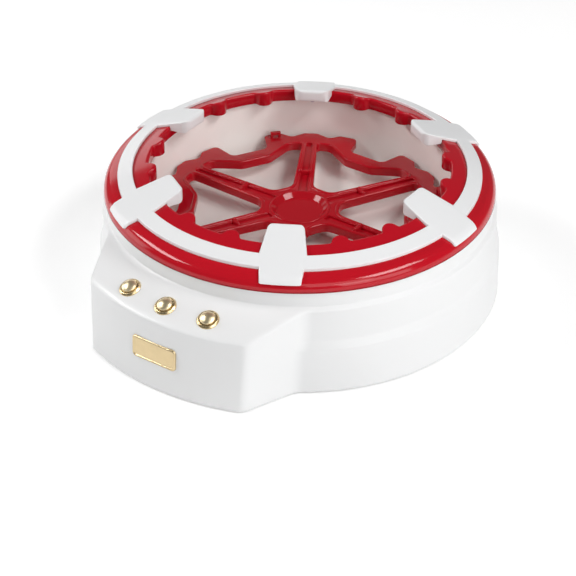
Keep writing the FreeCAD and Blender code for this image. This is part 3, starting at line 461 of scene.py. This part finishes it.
rim = {
    "bezelRadius": 125.0, "seatHeight": 69.9, "deckAtBezel": 75.36, "deckSlope": 0.36,
    "bandInner": 106.2, "bandOuter": 115.8, "bezelInner": 112.2, "ringOuter": 111.8, "lipRadius": 96.0,
}


def deck(radius, lift=0.0):
    # height of the rim's cone at a radius, raised square to it by lift
    rise = rim["deckSlope"] * (rim["bezelRadius"] - radius)
    return rim["deckAtBezel"] + rise + lift * math.hypot(1, rim["deckSlope"])


# Housing: radius as a function of angle and height, the larger of the drum and the console

housing = {
    "drum": [(130.4, 1.5, 0), (129.5, 31.0, 3.0), (127.1, 36.5, 4.0),
             (126.6, 57.2, 2.0), (124.4, 59.8, 1.2), (124.4, 69.9, 0)],   # radius, height, fillet
    "neck": [(122.6, 69.9), (122.6, 72.0), (115.0, 72.0), (115.0, 69.6)],   # radius, height
    "levels": [(1.5, 2.4, 3), (6, 26, 5), (27.5, 39, 26), (41, 46, 4),
               (46.5, 60.6, 86), (62, 69.9, 5)],   # heights of the outside: first, last, how many
    "innerLevels": [(69.6, 58, 6), (57.6, 46, 24), (44, 26, 8), (22, 1.5, 4)],
    "foot": 1.5,
    "footRadius": 154.6, "topRadius": 152.0, "edgeHeight": 49.5, "slope": 0.36,
    "halfWidth": 58.2, "splay": 22.6, "wall": 2.4,
    "edgeEase": 5.0, "cornerEase": 3.4, "drumEase": 2.4,
    "cornerAngles": (18.0, 26.0), "cornerStep": 0.25, "fineAngle": 46.0, "fineStep": 0.55, "coarseStep": 1.6,
}


def drumRadius(height):
    # drum profile with its corners eased, as radius over height
    line = roundedOutline([(0, 0, 0)] + housing["drum"] + [(0, 80, 0)])[1:-1]
    return np.interp(height, line[:, 1], line[:, 0])


def wallRadius(height):
    # the console's front wall leans inwards from its foot to the edge of the slope
    lean = (housing["footRadius"] - housing["topRadius"]) / (housing["edgeHeight"] - housing["foot"])
    return housing["footRadius"] - lean * (height - housing["foot"])


def consoleRadius(angle, height, inset=0.0):
    # nearest of the front wall, the splayed side walls and the sloping top, from the spindle outwards
    front = wallRadius(height) - inset
    splay = math.tan(math.radians(housing["splay"]))
    cornerY = math.sqrt(housing["footRadius"] ** 2 - housing["halfWidth"] ** 2)
    span = housing["halfWidth"] + splay * cornerY - inset * math.hypot(1, splay)
    side = span / np.maximum(np.abs(np.sin(angle)) + splay * np.cos(angle), 0.05)
    side = np.where(np.abs(angle) < math.pi / 2, side, 0.0)
    wall = smoothLow(front + 0 * angle, side, housing["cornerEase"])
    rise = height + inset * math.hypot(1, housing["slope"]) - housing["edgeHeight"]
    top = housing["topRadius"] - rise / housing["slope"]
    return smoothLow(wall, top, housing["edgeEase"])


def housingGrid():
    # angles lie close where the console's corners turn, and wide round the drum
    nearCorner, pastCorner = housing["cornerAngles"]
    fine, step = housing["fineAngle"], housing["fineStep"]
    close = np.arange(nearCorner, pastCorner, housing["cornerStep"])
    side = np.concatenate([np.arange(step, nearCorner, step), close, np.arange(pastCorner, fine, step)])
    middle = np.concatenate([-side[::-1], [0.0], side])
    rest = np.arange(fine + housing["coarseStep"], 360 - fine, housing["coarseStep"])
    angle = np.radians(np.concatenate([middle, rest]))[None, :]
    angle = (angle + math.pi) % (2 * math.pi) - math.pi
    height = np.concatenate([np.linspace(*span) for span in housing["levels"]])[:, None]
    outer = smoothHigh(drumRadius(height) + 0 * angle, consoleRadius(angle, height), housing["drumEase"])
    innerHeight = np.concatenate([np.linspace(*span) for span in housing["innerLevels"]])[:, None]
    wall = housing["wall"]
    inner = np.maximum(drumRadius(innerHeight) - wall, consoleRadius(angle, innerHeight, wall))
    radius = np.concatenate([outer] + [np.full_like(angle, r) for r, _ in housing["neck"]] + [inner])
    level = np.concatenate([height[:, 0], [z for _, z in housing["neck"]], innerHeight[:, 0]])
    level = level[:, None] + 0 * angle
    return np.stack([radius * np.sin(angle), -radius * np.cos(angle), level], -1)


housingShell = piece("housingShell", [housingGrid()], "machine", "white_housing", ["upper_housing"], sharp=50)


# Push buttons: rings, caps and the holes that they stand in

buttons = {
    "circle": 140.3, "spacing": 12.1, "names": ("left", "middle", "right"),
    "holeRadius": 5.4, "drillSpan": (-6.0, 4.0), "drillSteps": 64,
    "ring": [(5.0, -0.4, 0), (6.85, -0.4, 0), (6.85, 0.5, 0.3),
             (5.9, 1.4, 0.5), (5.2, 1.4, 0.2), (5.0, 1.1, 0.1)],
    "crown": 1.8, "shoulder": 2.3, "radius": 4.75,
    "shank": [(4.75, 2.1), (4.75, -2.7), (6.6, -2.7), (6.6, -3.9), (1.5, -3.9), (1.5, -6.2), (0.0, -6.2)],
}


def atButton(grid, angle):
    # from a button's own axis to its place on the console's slope
    tilt = math.atan(housing["slope"])
    x, y, z = np.moveaxis(grid, -1, 0)
    out = x * math.cos(tilt) + z * math.sin(tilt) + buttons["circle"]
    level = housing["edgeHeight"] + housing["slope"] * (housing["topRadius"] - buttons["circle"])
    return spun(np.stack([out, y, z * math.cos(tilt) - x * math.sin(tilt) + level], -1), angle)


buttonAngles = [-90 + k * buttons["spacing"] for k in (-1, 0, 1)]


def cutHoles(thing, radius):
    # bores a hole for each button through a piece
    low, high = buttons["drillSpan"]
    steps = buttons["drillSteps"]
    line = np.array([[0, low], [radius, low], [radius, high], [0, high]])
    work = bmesh.new()
    for angle in buttonAngles:
        drill = place(atButton(turned(line, steps), angle).reshape(-1, 3))
        verts = [work.verts.new(p) for p in drill]
        for quad in gridFaces(steps, len(line), True, False):
            work.faces.new([verts[i] for i in quad])
    bmesh.ops.remove_doubles(work, verts=work.verts, dist=2e-6)
    bmesh.ops.recalc_face_normals(work, faces=work.faces)
    mesh = bpy.data.meshes.new("drill")
    work.to_mesh(mesh)
    work.free()
    drill = bpy.data.objects.new("drill", mesh)
    bpy.context.scene.collection.objects.link(drill)
    cut = thing.modifiers.new("holes", "BOOLEAN")
    cut.operation, cut.solver, cut.object = "DIFFERENCE", "EXACT", drill
    bpy.context.view_layer.update()
    bored = bpy.data.meshes.new_from_object(thing.evaluated_get(bpy.context.evaluated_depsgraph_get()))
    thing.modifiers.clear()
    thing.data = bored
    bpy.data.objects.remove(drill)


cutHoles(housingShell, buttons["holeRadius"])


def capProfile():
    # spherical crown over a straight side, with the flange and the stem below
    rise, radius = buttons["crown"], buttons["radius"]
    ball = (radius ** 2 + rise ** 2) / (2 * rise)
    r = np.linspace(0, radius, 14)
    z = buttons["shoulder"] + rise - ball + np.sqrt(ball ** 2 - r ** 2)
    return np.concatenate([np.stack([r, z], -1), buttons["shank"]])


ringGrids = [atButton(turned(roundedOutline(buttons["ring"], 5), 72), a) for a in buttonAngles]
piece("buttonRings", ringGrids, "machine", "gold_ring", [f"button_ring_{n}" for n in buttons["names"]])
for capName, capAngle in zip(buttons["names"], buttonAngles):
    piece(f"buttonCap_{capName}", [atButton(turned(capProfile(), 72), capAngle)], f"{capName}_button",
          "gold_button", [f"button_cap_{capName}"], closedColumns=False, sharp=55)


# Rim: bezel, light ring with arms, scalloped ring

bezel = {"wall": 2.0, "corner": 7.4, "edge": 0.9}
bezelWallRadius = rim["bezelRadius"] - bezel["wall"]
bezelProfile = roundedOutline([
    (rim["bezelRadius"], rim["seatHeight"], 0.4),
    (rim["bezelRadius"], deck(rim["bezelRadius"]), bezel["corner"]),
    (rim["bezelInner"], deck(rim["bezelInner"]), bezel["edge"]),
    (rim["bezelInner"], deck(rim["bezelInner"], -bezel["wall"]), 0),
    (bezelWallRadius, deck(bezelWallRadius, -bezel["wall"]), 3.0),
    (bezelWallRadius, rim["seatHeight"], 0),
], 12)
piece("outerBezel", [turned(bezelProfile, 360)], "machine", "red_bezel", ["outer_bezel"])

scallops = {
    "tip": 91.0, "tipFillet": 5.5, "rootFillet": 2.0, "offset": 10.0, "armAngle": -60.7, "arms": 6,
    "wall": 1.8, "lipWall": 1.7, "lipBottom": 77.3, "edge": 1.3, "steps": 900,
    "footEase": [(0, 0.5), (0.25, 0.1), (0.6, 0)],   # inset, height above the lip's bottom
}


def scallopRadius(angle):
    # radius of the lip: the rim circle, with two round bumps inward between each pair of arms
    base, tipFillet, rootFillet = rim["lipRadius"], scallops["tipFillet"], scallops["rootFillet"]
    tipCentre = scallops["tip"] + tipFillet
    rootCentre = base - rootFillet
    reach = tipFillet + rootFillet
    spread = math.acos((tipCentre ** 2 + rootCentre ** 2 - reach ** 2) / (2 * tipCentre * rootCentre))
    meet = tipFillet / reach
    meetX = tipCentre + (rootCentre * math.cos(spread) - tipCentre) * meet
    meetAngle = math.atan2(rootCentre * math.sin(spread) * meet, meetX)
    sector = 360 / scallops["arms"]
    within = (angle - scallops["armAngle"]) % sector - sector / 2
    offset = np.radians(np.minimum(np.abs(within - scallops["offset"]), np.abs(within + scallops["offset"])))
    tipDepth = np.clip(tipFillet ** 2 - (tipCentre * np.sin(offset)) ** 2, 0, None)
    bump = tipCentre * np.cos(offset) - np.sqrt(tipDepth)
    away = offset - spread
    rootDepth = np.clip(rootFillet ** 2 - (rootCentre * np.sin(away)) ** 2, 0, None)
    root = rootCentre * np.cos(away) + np.sqrt(rootDepth)
    return np.where(offset < meetAngle, bump, np.where(offset < spread, root, base))


def innerRingGrid():
    degrees = np.linspace(0, 360, scallops["steps"], endpoint=False)
    lip = scallopRadius(degrees)
    edge, wall = scallops["edge"], scallops["lipWall"]
    curve = np.linspace(0, math.pi / 2, 7)
    rows = [(np.full_like(lip, rim["ringOuter"]), deck(rim["ringOuter"]) + 0 * lip)]
    rows += [(lip + 6, deck(lip + 6)), (lip + 2 * edge, deck(lip + 2 * edge))]
    rows += [(lip + edge - edge * math.sin(t), deck(lip + edge) - edge + edge * math.cos(t)) for t in curve]
    foot = scallops["lipBottom"] + 0 * lip
    rows += [(lip + inset, foot + lift) for inset, lift in scallops["footEase"]]
    rows += [(lip + wall, foot)]
    rows += [(lip + wall, deck(lip + wall, -scallops["wall"]))]
    rows += [(np.full_like(lip, rim["ringOuter"]), deck(rim["ringOuter"], -scallops["wall"]) + 0 * lip)]
    radius = np.stack([r for r, _ in rows])
    height = np.stack([z for _, z in rows])
    angle = np.radians(degrees)[None, :]
    return np.stack([radius * np.cos(angle), radius * np.sin(angle), height], -1)


piece("scallopedRing", [innerRingGrid()], "machine", "red_ring", ["inner_ring"], sharp=45)

arms = {
    "endRadius": 82.9, "endHeight": 92.4, "bottom": 82.9, "gap": 0.15, "thickness": 1.9,
    "plan": [(82.9, 10.6), (106.2, 14.3), (115.8, 13.4), (127.5, 12.2)],   # radius, half width
    "endFillet": 4.6, "clawFillet": 0.7, "browFillet": 2.6, "footFillet": 3.0, "edge": 0.8,
    "clawAngle": 33.0, "clawThinning": 0.8, "lift": 0.04, "straightRun": 16.0,
    "closeRun": 4, "stations": (4.6, 44, 56),   # distance from the end: first, last, how many
}


def quarterIn(distance, fillet):
    # how far a quarter round draws a side in at a distance from the end
    short = np.clip(fillet - distance, 0, None)
    return fillet - np.sqrt(fillet ** 2 - short ** 2)


def armStations():
    # outer and under line of the arm from its end over the bowl, across the deck and round the bezel's corner
    top = arms["gap"] + arms["thickness"] + arms["lift"]
    nearEnd = arms["closeRun"] * (1 - np.cos(np.linspace(0, np.pi / 2, 9)))
    fromEnd = np.concatenate([nearEnd, np.linspace(*arms["stations"])])
    radius = arms["endRadius"] + fromEnd
    rise = (arms["endHeight"] - deck(rim["bandInner"], top)) / (rim["bandInner"] - arms["endRadius"])
    ridgeLine = arms["endHeight"] - rise * fromEnd - quarterIn(fromEnd, arms["browFillet"])
    outer = np.where(radius < rim["bandInner"], ridgeLine, deck(radius, top))
    foot = arms["bottom"] + quarterIn(fromEnd, arms["footFillet"])
    under = np.where(radius < rim["lipRadius"] - 0.5, foot, deck(radius, arms["gap"]))
    corner = rim["bezelRadius"] - bezel["corner"]
    level = deck(corner, -bezel["corner"])
    slopeAngle = math.atan(1 / rim["deckSlope"])
    sweep = np.linspace(slopeAngle, math.radians(arms["clawAngle"]), 14)[1:]
    flatPart = radius < corner + (bezel["corner"] + top) * math.cos(slopeAngle) - 0.3
    lines = []
    thinning = arms["clawThinning"] * np.linspace(0, 1, len(sweep))
    for line, reach in ((outer, bezel["corner"] + top - thinning), (under, bezel["corner"] + arms["gap"])):
        arc = np.stack([corner + reach * np.cos(sweep), level + reach * np.sin(sweep)], -1)
        lines.append(np.concatenate([np.stack([radius, line], -1)[flatPart], arc]))
    return lines


def armGrid():
    # a slab carried along the stations: its width follows the plan, with quarter rounds on both top edges
    outer, under = armStations()
    planRadius, planWidth = np.array(arms["plan"]).T
    fromEnd = outer[:, 0] - arms["endRadius"]
    length = np.cumsum(np.r_[0, np.hypot(*np.diff(outer, axis=0).T)])
    width = np.interp(outer[:, 0], planRadius, planWidth)
    width = width - quarterIn(fromEnd, arms["endFillet"]) - quarterIn(length[-1] - length, arms["clawFillet"])
    depth = np.hypot(*(outer - under).T)
    edge = np.minimum(arms["edge"], depth * 0.45)
    # across the slab: share of the half width, share of the edge radius, and drop below the top in edge radii
    turn, flat = np.linspace(0, np.pi / 2, 6), np.linspace(-0.8, 0.8, 7)
    leftEdge = np.stack([-1 + 0 * turn, -np.cos(turn), 1 - np.sin(turn)], -1)
    middle = np.stack([flat, 0 * flat, 0 * flat], -1)
    section = np.concatenate([leftEdge, middle, leftEdge[::-1] * [-1, -1, 1]])
    across = (width - edge)[:, None] * section[:, 0] + edge[:, None] * section[:, 1]
    share = 1 - edge[:, None] * section[:, 2] / depth[:, None]
    across = np.concatenate([across, np.stack([width, -width], -1)], 1)
    share = np.concatenate([share, np.zeros((len(width), 2))], 1)
    radius = under[:, None, 0] + (outer - under)[:, None, 0] * share
    height = under[:, None, 1] + (outer - under)[:, None, 1] * share
    # the claw follows the bezel's round and the end over the bowl is cut straight
    curved = np.sqrt(radius ** 2 - across ** 2)
    straight = np.clip(1 - fromEnd / arms["straightRun"], 0, 1)[:, None]
    grid = np.stack([curved + (radius - curved) * straight, across, height], -1)
    ends = [np.repeat(grid[k].mean(0)[None], grid.shape[1], 0)[None] for k in (0, -1)]
    return np.concatenate([ends[0], grid, ends[1]])


bandTop = arms["gap"] + arms["thickness"]
bandProfile = roundedOutline([
    (rim["bandInner"], deck(rim["bandInner"], arms["gap"]), 0),
    (rim["bandOuter"], deck(rim["bandOuter"], arms["gap"]), 0),
    (rim["bandOuter"], deck(rim["bandOuter"], bandTop), 0.5),
    (rim["bandInner"], deck(rim["bandInner"], bandTop), 0.5),
], 6)


def lightRing():
    # the band once round, and the six arms across it
    band, arm = turned(bandProfile, 360), armGrid()
    turns = [scallops["armAngle"] + k * 360 / scallops["arms"] for k in range(scallops["arms"])]
    mesh = joinMeshes(bpy.data.meshes.new("lightRing"), [band] + [spun(arm, turn) for turn in turns],
                      [(True, True)] + [(False, True)] * len(turns))
    dress("lightRing", mesh, "machine", "white_ring", ["light_ring"], 40)


lightRing()

lamps = {"radius": 3.2, "circle": 92.05, "tip": 79.0, "top": 82.9, "stem": 2.2, "stemTop": 84.9}
dome = np.linspace(-np.pi / 2, 0, 14)
lampProfile = np.concatenate([
    np.stack([lamps["radius"] * np.cos(dome), lamps["tip"] + lamps["radius"] * (1 + np.sin(dome))], -1),
    [[lamps["radius"], lamps["top"] - 0.02], [lamps["stem"], lamps["top"] - 0.02],
     [lamps["stem"], lamps["stemTop"]], [0, lamps["stemTop"]]]])
lampGrid = turned(lampProfile, 40) + np.array([lamps["circle"], 0, 0])
piece("lampDomes", [spun(lampGrid, scallops["armAngle"] + k * 60) for k in range(6)], "machine", "lamp_lens",
      [f"uv_led_{k}" for k in range(1, 7)], closedColumns=False, sharp=50)


# Catch bowl

bowl = {"floor": 35.5, "floorRadius": 97.7, "rimRadius": 99.5, "wall": 2.0, "fillet": 10.0,
        "flangeRadius": 121.3, "flangeBottom": 72.0, "flangeTop": 74.0,
        "collarInner": 5.0, "collarOuter": 7.5, "collarBottom": 31.4, "collarTop": 42.0, "collarFoot": 14.0}
bowlTop = deck(bowl["rimRadius"] + bowl["wall"], -1.8) - 0.1
bowlOuter = bowl["rimRadius"] + bowl["wall"]
bowlProfile = roundedOutline([
    (bowl["collarInner"], bowl["collarBottom"], 0), (bowl["collarOuter"], bowl["collarBottom"], 0),
    (bowl["collarOuter"], bowl["floor"] - bowl["wall"], 1.0),
    (bowl["floorRadius"] + bowl["wall"], bowl["floor"] - bowl["wall"], bowl["fillet"] + bowl["wall"]),
    (bowlOuter, bowl["flangeBottom"], 0), (bowl["flangeRadius"], bowl["flangeBottom"], 0),
    (bowl["flangeRadius"], bowl["flangeTop"], 0), (bowlOuter, bowl["flangeTop"], 0),
    (bowlOuter, bowlTop, 0.5), (bowl["rimRadius"], bowlTop, 0.5), (bowl["rimRadius"], bowl["flangeTop"], 0),
    (bowl["floorRadius"], bowl["floor"], bowl["fillet"]), (bowl["collarFoot"], bowl["floor"], 4.0),
    (bowl["collarOuter"], bowl["collarTop"], 0.4), (bowl["collarInner"], bowl["collarTop"], 0),
], 14)
piece("catchBowl", [turned(bowlProfile, 300)], "machine", "white_bowl", ["catch_bowl"], sharp=45)


# Spinning wheel

wheel = {
    "bottom": 46.5, "top": 51.9, "bevel": 0.5, "hubHole": 18.6,
    "edge": [(79.2, 9.3, 5.0), (96.5, 10.6, 3.6), (96.5, 18.0, 4.0), (91.8, 21.9, 4.0), (96.7, 27.5, 4.0)],
    "windowSide": [(26.4, 6.8, 8.0), (82.6, 5.2, 2.5)],
    "windowOuter": [(82.6, 20.2, 6.5), (68.2, 8.5, 9.0)],
    "ridgeTop": 52.5, "ridgeWidth": 2.8, "ridgeCrown": 1.2, "ridgeProud": 0.03,
    "groove": [(20.5, -2.9, 0.8), (83.4, -1.9, 1.5), (83.4, 1.9, 1.5), (20.5, 2.9, 0.8)],
    "grooveFloor": 50.2, "lap": 0.4,
    "lugCircle": 44.5, "lug": (2.6, 9.4), "lugTop": 53.3, "lugFillet": 1.1,
    "lugEase": [(0, 0.8), (0.12, 0.4), (0.4, 0.1), (0.8, 0)],   # inset, drop below the lug's top
    "knob": 1.3, "knobOut": 3.0, "knobTop": 54.2,
    "clipCircle": 92.8, "clipAngles": (45, 135, 225, 315), "clipOpening": (3.6, 2.2), "clipLevel": 52.7,
    "clipWall": 1.7, "clipDepth": 3.2, "clipFillet": 0.5,
    "hub": [(0, 43.3, 0), (8.5, 43.3, 0.5), (8.5, 47.3, 1), (15.0, 47.3, 1), (15.0, 39.5, 0.4),
            (16.6, 39.5, 0.4), (16.6, 48.0, 0), (19.8, 48.0, 0), (19.8, 52.5, 0.9), (18.2, 52.5, 0.7),
            (14.9, 49.3, 1.4), (0, 49.3, 0)],
}


def polar(radius, degrees):
    return radius * math.cos(math.radians(degrees)), radius * math.sin(math.radians(degrees))


def wheelEdge():
    # six times over: dip, lobe, valley and the spoke's lobe, mirrored about the middle of each window
    corners = []
    for middle in range(30, 390, 60):
        corners += [(*polar(r, middle - a), f) for r, a, f in reversed(wheel["edge"])]
        corners += [(*polar(r, middle + a), f) for r, a, f in wheel["edge"]]
    return roundedOutline(corners, 7)


def windowLine():
    # opening between two spokes, about +X; beside a spoke a corner is set by the spoke's half width
    side = [(r, 30 - math.degrees(math.asin(w / r)), f) for r, w, f in wheel["windowSide"]]
    side += wheel["windowOuter"]
    corners = [(*polar(r, -a), f) for r, a, f in side] + [(*polar(r, a), f) for r, a, f in reversed(side)]
    return roundedOutline(corners, 7)


def turnedLine(line, degrees):
    return spun(np.c_[line, np.zeros(len(line))], degrees)[:, :2]


def wheelPlate():
    # side walls with rounded edges round the outside and in each hole, then flat faces between them
    hubTurn = np.linspace(0, 2 * np.pi, 96, endpoint=False)
    holes = [wheel["hubHole"] * np.stack([np.cos(hubTurn), np.sin(hubTurn)], -1)]
    for turn in range(0, 360, 60):
        holes += [turnedLine(windowLine(), turn + 30), turnedLine(roundedOutline(wheel["groove"], 7), turn)]
    low, high, bevel = wheel["bottom"], wheel["top"], wheel["bevel"]
    edgeTurn = np.linspace(0, np.pi / 2, 5)
    inset = bevel - bevel * np.sin(edgeTurn)
    drop = bevel - bevel * np.cos(edgeTurn)
    profile = np.concatenate([np.stack([-inset, high - drop], -1), np.stack([-inset, low + drop], -1)[::-1]])
    grids = [banked(wheelEdge(), profile)] + [banked(hole, profile * [-1, 1]) for hole in holes]
    mesh = joinMeshes(bpy.data.meshes.new("spinnerWheel"), grids, [(True, False)] * len(grids))
    work = bmesh.new()
    work.from_mesh(mesh)
    rims = [edge for edge in work.edges if edge.is_boundary]
    middle = (low + high) / 2 * metresPerMm
    for upper in (True, False):
        rimEdges = [edge for edge in rims if (edge.verts[0].co.z > middle) == upper]
        bmesh.ops.triangle_fill(work, use_beauty=True, use_dissolve=False, edges=rimEdges)
    work.to_mesh(mesh)
    work.free()
    return mesh


def ridge():
    # section of a wall with a rounded crown, from the plate's foot up its window side and over
    low, high, width = wheel["bottom"] - wheel["ridgeProud"], wheel["ridgeTop"], wheel["ridgeWidth"]
    crown, turn = wheel["ridgeCrown"], np.linspace(0, np.pi / 2, 6)
    inner = np.stack([crown - crown * np.cos(turn), high - crown + crown * np.sin(turn)], -1)
    outer = np.stack([width - crown + crown * np.sin(turn), high - crown + crown * np.cos(turn)], -1)
    return np.concatenate([[[0, low]], inner, outer, [[width, low]]]) - [wheel["ridgeProud"], 0]


def rectangle(centre, length, width, radius, steps=5):
    x, y = centre
    a, b = length / 2, width / 2
    corners = [(x - a, y - b), (x + a, y - b), (x + a, y + b), (x - a, y + b)]
    return roundedOutline([(*corner, radius) for corner in corners], steps)


def lugGrids():
    # cross bar over the groove with a knob near each end
    length, width = wheel["lug"]
    top, floorLevel, knob = wheel["lugTop"], wheel["grooveFloor"] - 0.3, wheel["knob"]
    bar = stacked(rectangle((wheel["lugCircle"], 0), length, width, wheel["lugFillet"]),
                  [(0, floorLevel)] + [(inset, top - drop) for inset, drop in wheel["lugEase"]])
    dome = np.linspace(0, np.pi / 2, 8)
    line = np.stack([knob * np.cos(dome), wheel["knobTop"] - knob + knob * np.sin(dome)], -1)
    line = np.concatenate([[[0, floorLevel], [knob, floorLevel]], line])
    knobs = [turned(line, 24) + [wheel["lugCircle"], out, 0] for out in (-wheel["knobOut"], wheel["knobOut"])]
    return bar, knobs


def clipGrid():
    # square frame that stands on its edge, its opening facing the spindle
    wall, depth, fillet = wheel["clipWall"], wheel["clipDepth"] / 2, wheel["clipFillet"]
    corners = [(0, -depth, 0.3), (wall, -depth, fillet), (wall, depth, fillet), (0, depth, 0.3)]
    section = roundedOutline(corners, 4)
    frameGrid = banked(rectangle((0, wheel["clipLevel"]), *wheel["clipOpening"], 0), section)
    across, height, out = np.moveaxis(frameGrid, -1, 0)
    return np.stack([wheel["clipCircle"] + out, across, height], -1)


def spinnerWheel():
    mesh = wheelPlate()
    wall = banked(windowLine(), ridge())
    groove = stacked(roundedOutline(wheel["groove"], 7),
                     [(-wheel["lap"], wheel["bottom"] + 0.1), (-wheel["lap"], wheel["grooveFloor"])])
    bar, knobs = lugGrids()
    grids, closed = [turned(roundedOutline(wheel["hub"], 6), 160)], [(True, True)]
    for turn in range(0, 360, 60):
        grids += [spun(wall, turn + 30), spun(groove, turn), spun(bar, turn)]
        grids += [spun(knob, turn) for knob in knobs]
        closed += [(True, True), (False, True), (False, True), (True, False), (True, False)]
    for angle in wheel["clipAngles"]:
        grids.append(spun(clipGrid(), angle))
        closed.append((True, True))
    dress("spinnerWheel", joinMeshes(mesh, grids, closed), "spinner", "red_wheel", ["spinner_wheel"], 40)


spinnerWheel()


# Front plate on the console's wall

plate = {
    "width": 32.5, "height": 14.7, "centre": 27.0, "fillet": 2.5,
    "thickness": 0.9, "rise": 0.5, "border": 1.35,
    "ease": [(0, 0.7), (0.2, 0.35), (0.5, 0.1), (0.8, 0.0), (1.1, 0.05)],   # inset, drop below the border
    "step": 0.2, "shares": (0.98, 0.9, 0.7, 0.45, 0.2, 0.0),   # outlines of the flat, as shares of its size
}


def frontPlate():
    # nested outlines on the curved wall: (inset, distance out from the wall)
    line = rectangle((0, plate["centre"]), plate["width"], plate["height"], plate["fillet"], 8)
    normal = outward(line)
    high = plate["thickness"] + plate["rise"]
    layers = [(0, 0.0)] + [(inset, high - drop) for inset, drop in plate["ease"]]
    layers.append((plate["border"], plate["thickness"] + plate["step"]))
    rings = [(line - normal * inset, out) for inset, out in layers]
    centre = np.array([0.0, plate["centre"]])
    core = line - normal * plate["border"]
    rings += [(centre + (core - centre) * s, plate["thickness"]) for s in plate["shares"]]
    rings.insert(0, (centre + 0 * line, 0.0))
    flat = np.stack([r for r, _ in rings])
    out = np.array([o for _, o in rings])[:, None]
    radius = wallRadius(flat[..., 1]) + out
    grid = np.stack([flat[..., 0], -np.sqrt(radius ** 2 - flat[..., 0] ** 2), flat[..., 1]], -1)
    mesh = bpy.data.meshes.new("frontPlate")
    faces = gridFaces(grid.shape[0], grid.shape[1], False, True)
    mesh.from_pydata(place(grid.reshape(-1, 3)).tolist(), [], faces.tolist())
    return dress("frontPlate", mesh, "machine", "gold_plate", ["front_plate"], 40)


frontPlate()

print("pieces done")
